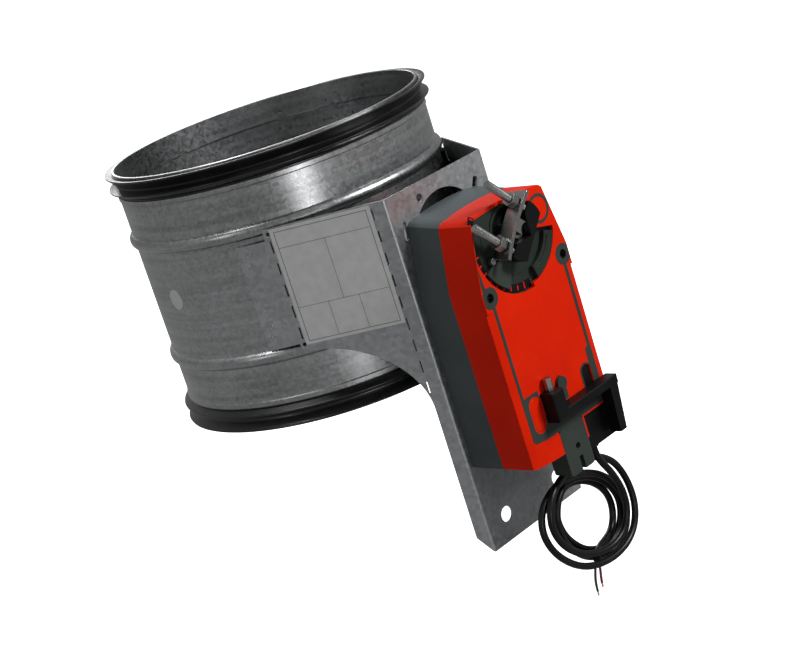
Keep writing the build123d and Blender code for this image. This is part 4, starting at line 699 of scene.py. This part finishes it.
frame_near = 0.015
frame_far = 0.087
frame_top = -0.0592
frame_foot = -0.1444
frame_line = 0.0004
rules = [
    printed_rule("rule_top", frame_near, frame_far, frame_top, frame_top - frame_line),
    printed_rule("rule_bottom", frame_near, frame_far, frame_foot + frame_line, frame_foot),
    printed_rule("rule_near", frame_near, frame_near + frame_line, frame_top, frame_foot),
    printed_rule("rule_far", frame_far - frame_line, frame_far, frame_top, frame_foot),
    printed_rule("rule_head", frame_near, frame_far, -0.0716, -0.0719),
    printed_rule("rule_foot", frame_near, frame_far, -0.1180, -0.1183),
    printed_rule("rule_half", 0.0508, 0.0511, -0.0719, -0.1180),
    printed_rule("rule_third", 0.0390, 0.0393, -0.1180, -0.1440),
    printed_rule("rule_last", 0.0630, 0.0633, -0.1180, -0.1440),
]
bpy.ops.object.select_all(action="DESELECT")
for rule in rules:
    rule.select_set(True)
bpy.context.view_layer.objects.active = rules[0]
bpy.ops.object.join()
label_rules = rules[0]
label_rules.name = "label_rules"
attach(label_rules, "casing")


# Pale plastic bushes carry the shaft where it goes through the duct and the console.
bush_plastic = Finish("bush_plastic", Roughness=0.45)
bush_marks = bush_plastic.cloud(300.0, 3.0)
bush_plastic.wear(
    "Base Color",
    bush_plastic.mix(bush_marks, (0.62, 0.62, 0.58, 1.0), (0.72, 0.72, 0.69, 1.0)),
)
bush_plastic.raised(bush_marks, 0.1, 0.0003)
coat(bush_plastic, "drive_bush", "idle_bush", "idle_cap", "rear_bearing", "front_bearing")


# The blade is two round zinc-coated sheets riveted together over the shaft, with a rubber
# ring held between them; two bolts go through both sheets and the shaft.
joined_copy("blade_disc_upper", "blade", duct_zinc)
joined_copy("blade_disc_lower", "blade", duct_zinc)
joined_copy("blade_seal", "blade", lip_rubber)

plated_steel = Finish("plated_steel", Metallic=1.0, Roughness=0.25)
plated_marks = plated_steel.cloud(90.0, 3.0)
plated_scratch = plated_steel.cloud(700.0, 2.0, (0.05, 1.0, 1.0))
plated_steel.wear(
    "Base Color",
    plated_steel.mix(plated_marks, (0.26, 0.265, 0.26, 1.0), (0.40, 0.40, 0.39, 1.0)),
)
plated_steel.wear("Roughness", 0.2 + 0.14 * plated_marks)
plated_steel.raised(plated_scratch, 0.03, 0.0001)
coat(
    plated_steel,
    "blade_rivets",
    "blade_shaft",
    "shaft_circlip",
    "blade_bolts",
    "blade_nuts",
    "output_gear",
    "fixing_screws",
    "gear_plate",
    "plate_screws",
    "gear_axles",
    "return_spring",
    "motor",
)


# The drive's casing is moulded in two halves: a dark grey base and a bright orange cover,
# both with a fine spark texture and softly rounded edges, held by screws in two lugs.
def moulded_plastic(name, dark, light, rough, grain_height):
    finish = Finish(name, Roughness=rough, Specular_IOR_Level=0.12)
    grain = finish.cloud(1400.0, 2.0)
    flow = finish.steps(finish.cloud(30.0, 4.0), 0.3, 0.7)
    finish.wear("Base Color", finish.mix(0.7 * flow + 0.3 * grain, dark, light))
    finish.wear("Roughness", rough - 0.06 + 0.12 * grain + 0.05 * flow)
    finish.raised(grain, grain_height, 0.0002)
    return finish


orange_shell = moulded_plastic(
    "orange_shell", (0.64, 0.012, 0.0, 1.0), (0.78, 0.018, 0.0, 1.0), 0.40, 0.25
)
grey_shell = moulded_plastic(
    "grey_shell", (0.060, 0.074, 0.076, 1.0), (0.085, 0.100, 0.102, 1.0), 0.42, 0.3
)
black_moulding = moulded_plastic(
    "black_moulding", (0.003, 0.003, 0.003, 1.0), (0.008, 0.008, 0.008, 1.0), 0.34, 0.25
)
dark_moulding = moulded_plastic(
    "dark_moulding", (0.016, 0.023, 0.018, 1.0), (0.028, 0.036, 0.030, 1.0), 0.4, 0.25
)
frame_grey = moulded_plastic(
    "frame_grey", (0.030, 0.038, 0.033, 1.0), (0.048, 0.058, 0.051, 1.0), 0.4, 0.3
)
joined_copy("actuator_base", "casing", grey_shell, 0.0006)
joined_copy("actuator_cover", "casing", orange_shell, 0.0005)
joined_copy("face_frame", "casing", frame_grey, 0.0004)
joined_copy("dial_pan", "casing", dark_moulding, 0.0003)
joined_copy("cover_plug", "casing", orange_shell, 0.0005)
joined_copy("blind_plug", "casing", black_moulding, 0.0004)
joined_copy("cover_screws", "casing", plated_steel, 0.0003)
joined_copy("terminal_block", "casing", black_moulding, 0.0006)
joined_copy("cable_gland", "casing", black_moulding, 0.0006)
joined_copy("dial_scale", "casing", black_moulding)


# The plug on the right sits in a raised oval rim of grey plastic that belongs to the frame
# and is moulded in one with it.
plug_middle = (0.22515, 0.0306, -0.2330)
rim_half_width = 0.0066
rim_straight = 0.0075
rim_land = 0.0012
rim_rise = 0.0004
bpy.ops.object.select_all(action="DESELECT")
bpy.ops.mesh.primitive_circle_add(
    vertices=40,
    radius=rim_half_width,
    fill_type="NGON",
    location=plug_middle,
    rotation=(0.0, math.pi / 2, 0.0),
)
plug_rim = bpy.context.object
plug_rim.name = "plug_rim"
bpy.ops.object.transform_apply(location=True, rotation=True, scale=True)
for corner in plug_rim.data.vertices:
    corner.co.z += rim_straight if corner.co.z > plug_middle[2] else -rim_straight
bpy.ops.object.mode_set(mode="EDIT")
bpy.ops.mesh.select_all(action="SELECT")
bpy.ops.mesh.inset(thickness=rim_land)
bpy.ops.mesh.delete(type="FACE")
bpy.ops.mesh.select_all(action="SELECT")
bpy.ops.mesh.extrude_region_move(TRANSFORM_OT_translate={"value": (rim_rise, 0.0, 0.0)})
bpy.ops.mesh.select_all(action="SELECT")
bpy.ops.mesh.normals_make_consistent(inside=False)
bpy.ops.object.mode_set(mode="OBJECT")
bpy.ops.object.shade_smooth_by_angle(angle=math.radians(35))
plug_rim.data.materials.append(frame_grey.material)
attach(plug_rim, "casing")


# Each corner lug is lined with a short black sleeve above its screw, painted shade that
# makes the hole dark. It is a thin open tube of black moulding, and there are two of them.
sleeve_radius = 0.00345
sleeve_length = 0.0034
sleeve_wall = 0.0005
sleeve_middle = 0.2235
lug_side = 0.0419
lug_height = -0.1375
for shade_sleeve_name, side in (("lug_shade_sleeve_left", -1.0), ("lug_shade_sleeve_right", 1.0)):
    bpy.ops.object.select_all(action="DESELECT")
    bpy.ops.mesh.primitive_cylinder_add(
        vertices=48,
        radius=sleeve_radius,
        depth=sleeve_length,
        end_fill_type="NOTHING",
        location=(sleeve_middle, side * lug_side, lug_height),
        rotation=(0.0, math.radians(90.0), 0.0),
    )
    sleeve = bpy.context.object
    sleeve.name = shade_sleeve_name
    bpy.ops.object.transform_apply(location=True, rotation=True, scale=True)
    wall = sleeve.modifiers.new("wall", "SOLIDIFY")
    wall.thickness = sleeve_wall
    wall.offset = -1.0
    bpy.ops.object.modifier_apply(modifier=wall.name)
    bpy.ops.object.shade_smooth_by_angle(angle=math.radians(35.0))
    # The black moulding on the sleeve is painted shade for the dark inside of the lug hole.
    sleeve.data.materials.append(black_moulding.material)
    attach(sleeve, "casing")


# The dial under the clamp is a black band with a raised orange mark every ten degrees,
# and three longer ones, at the ends of 80 degrees of travel and halfway between them.
dial_face = 0.2216
mark_height = 0.00025
mark_first = 147
mark_last = 277
mark_step = 10
long_marks = (187, 227, 267)
long_span = (0.0379, 0.0429)
short_span = (0.0388, 0.0424)
mark_width = 0.0010
mark_chamfer = 0.08
dial_marks = []
for angle in range(mark_first, mark_last, mark_step):
    root, reach = long_span if angle in long_marks else short_span
    bpy.ops.object.select_all(action="DESELECT")
    bpy.ops.mesh.primitive_cube_add(size=1.0)
    mark = bpy.context.object
    bpy.ops.object.mode_set(mode="EDIT")
    bpy.ops.mesh.select_all(action="SELECT")
    bpy.ops.mesh.bevel(offset=mark_chamfer, segments=1, affect="EDGES")
    bpy.ops.object.mode_set(mode="OBJECT")
    mark.scale = (mark_height * 2, reach - root, mark_width)
    lean = math.radians(angle)
    middle = (reach + root) / 2
    mark.rotation_euler = (lean, 0.0, 0.0)
    mark.location = (dial_face, middle * math.cos(lean), shaft_height + middle * math.sin(lean))
    bpy.ops.object.transform_apply(location=True, rotation=True, scale=True)
    mark.data.materials.append(orange_shell.material)
    dial_marks.append(mark)
bpy.ops.object.select_all(action="DESELECT")
for mark in dial_marks:
    mark.select_set(True)
bpy.context.view_layer.objects.active = dial_marks[0]
bpy.ops.object.join()
dial_ticks = dial_marks[0]
dial_ticks.name = "dial_ticks"
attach(dial_ticks, "casing")


# Inside the drive: three brass gears, the pinion on the motor and a green circuit board.
gear_brass = Finish("gear_brass", Metallic=1.0, Roughness=0.28)
brass_marks = gear_brass.cloud(260.0, 3.0)
gear_brass.wear(
    "Base Color",
    gear_brass.mix(brass_marks, (0.50, 0.34, 0.10, 1.0), (0.72, 0.52, 0.22, 1.0)),
)
gear_brass.raised(brass_marks, 0.08, 0.0003)
coat(gear_brass, "second_gear", "first_gear", "motor_pinion")

board_lacquer = Finish("board_lacquer", Roughness=0.3, Coat_Weight=0.3)
board_tracks = board_lacquer.steps(board_lacquer.cloud(450.0, 1.0, (1.0, 0.2, 1.0)), 0.48, 0.52)
board_lacquer.wear(
    "Base Color",
    board_lacquer.mix(board_tracks, (0.012, 0.085, 0.03, 1.0), (0.03, 0.16, 0.06, 1.0)),
)
board_lacquer.raised(board_tracks, 0.1, 0.0002)
coat(board_lacquer, "circuit_board")


# The output hub is moulded with fine serrations round its mouth. The universal clamp in it
# has a black V block, a pressed steel saddle and two threaded studs with hexagon nuts.
joined_copy("output_hub", "blade", dark_moulding, 0.0003)
joined_copy("clamp_block", "blade", black_moulding, 0.0004)
joined_copy("clamp_saddle", "blade", plated_steel, 0.0005)
joined_copy("clamp_nuts", "blade", plated_steel, 0.0004)
joined_copy("hub_clip", "blade", frame_grey, 0.0003)
joined_copy("pointer", "blade", frame_grey, 0.0004)
joined_copy("pointer_screw", "blade", plated_steel, 0.0003)

stud_turn = math.radians(-45)
stud_middle_x = 0.2308
stud_spacing = 0.0167
stud_start = -0.043
stud_end = 0.010
thread_radius = 0.00298
thread_root = 0.00256
thread_pitch = 0.0010
stud_sides = 24


def threaded_stud(name, aside):
    """A rod drawn out of a disc in short steps that go in and out like a thread."""
    bpy.ops.object.select_all(action="DESELECT")
    bpy.ops.mesh.primitive_circle_add(vertices=stud_sides, radius=thread_root, fill_type="NGON")
    stud = bpy.context.object
    stud.name = name
    bpy.ops.object.mode_set(mode="EDIT")
    bpy.ops.mesh.select_all(action="SELECT")
    crest = thread_radius / thread_root
    turns = int(round((stud_end - stud_start) / thread_pitch))
    for turn in range(turns):
        for swell in (crest, 1 / crest):
            bpy.ops.mesh.extrude_region_move(
                TRANSFORM_OT_translate={"value": (0.0, 0.0, thread_pitch / 2)}
            )
            bpy.ops.transform.resize(value=(swell, swell, 1.0))
    bpy.ops.mesh.select_all(action="SELECT")
    bpy.ops.mesh.normals_make_consistent(inside=False)
    bpy.ops.object.mode_set(mode="OBJECT")
    along = Vector((0.0, math.cos(stud_turn), math.sin(stud_turn)))
    beside = Vector((0.0, -math.sin(stud_turn), math.cos(stud_turn)))
    start = Vector((stud_middle_x, 0.0, shaft_height)) + along * stud_start + beside * aside
    seat = Matrix.Identity(4)
    seat.col[0] = (1.0, 0.0, 0.0, 0.0)
    seat.col[1] = (*along.cross(Vector((1.0, 0.0, 0.0))), 0.0)
    seat.col[2] = (*along, 0.0)
    seat.col[3] = (*start, 1.0)
    stud.matrix_world = seat
    bpy.ops.object.transform_apply(location=True, rotation=True, scale=True)
    bpy.ops.object.shade_smooth_by_angle(angle=math.radians(40))
    stud.data.materials.append(plated_steel.material)
    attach(stud, "blade")
    return stud


stud_left = threaded_stud("stud_left", -stud_spacing)
threaded_stud("stud_right", stud_spacing)
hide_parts("clamp_studs")


# The end stop slides round the dial in an arc, and the lever locks the gear train for
# winding by hand with the folding crank, which carries a steel hexagon key.
joined_copy("end_stop", "end_stop", dark_moulding, 0.0004)
joined_copy("lock_lever", "lock_lever", frame_grey, 0.0003)
joined_copy("crank_handle", "crank", black_moulding, 0.0007)
joined_copy("crank_hexagon", "crank", plated_steel, 0.0002)
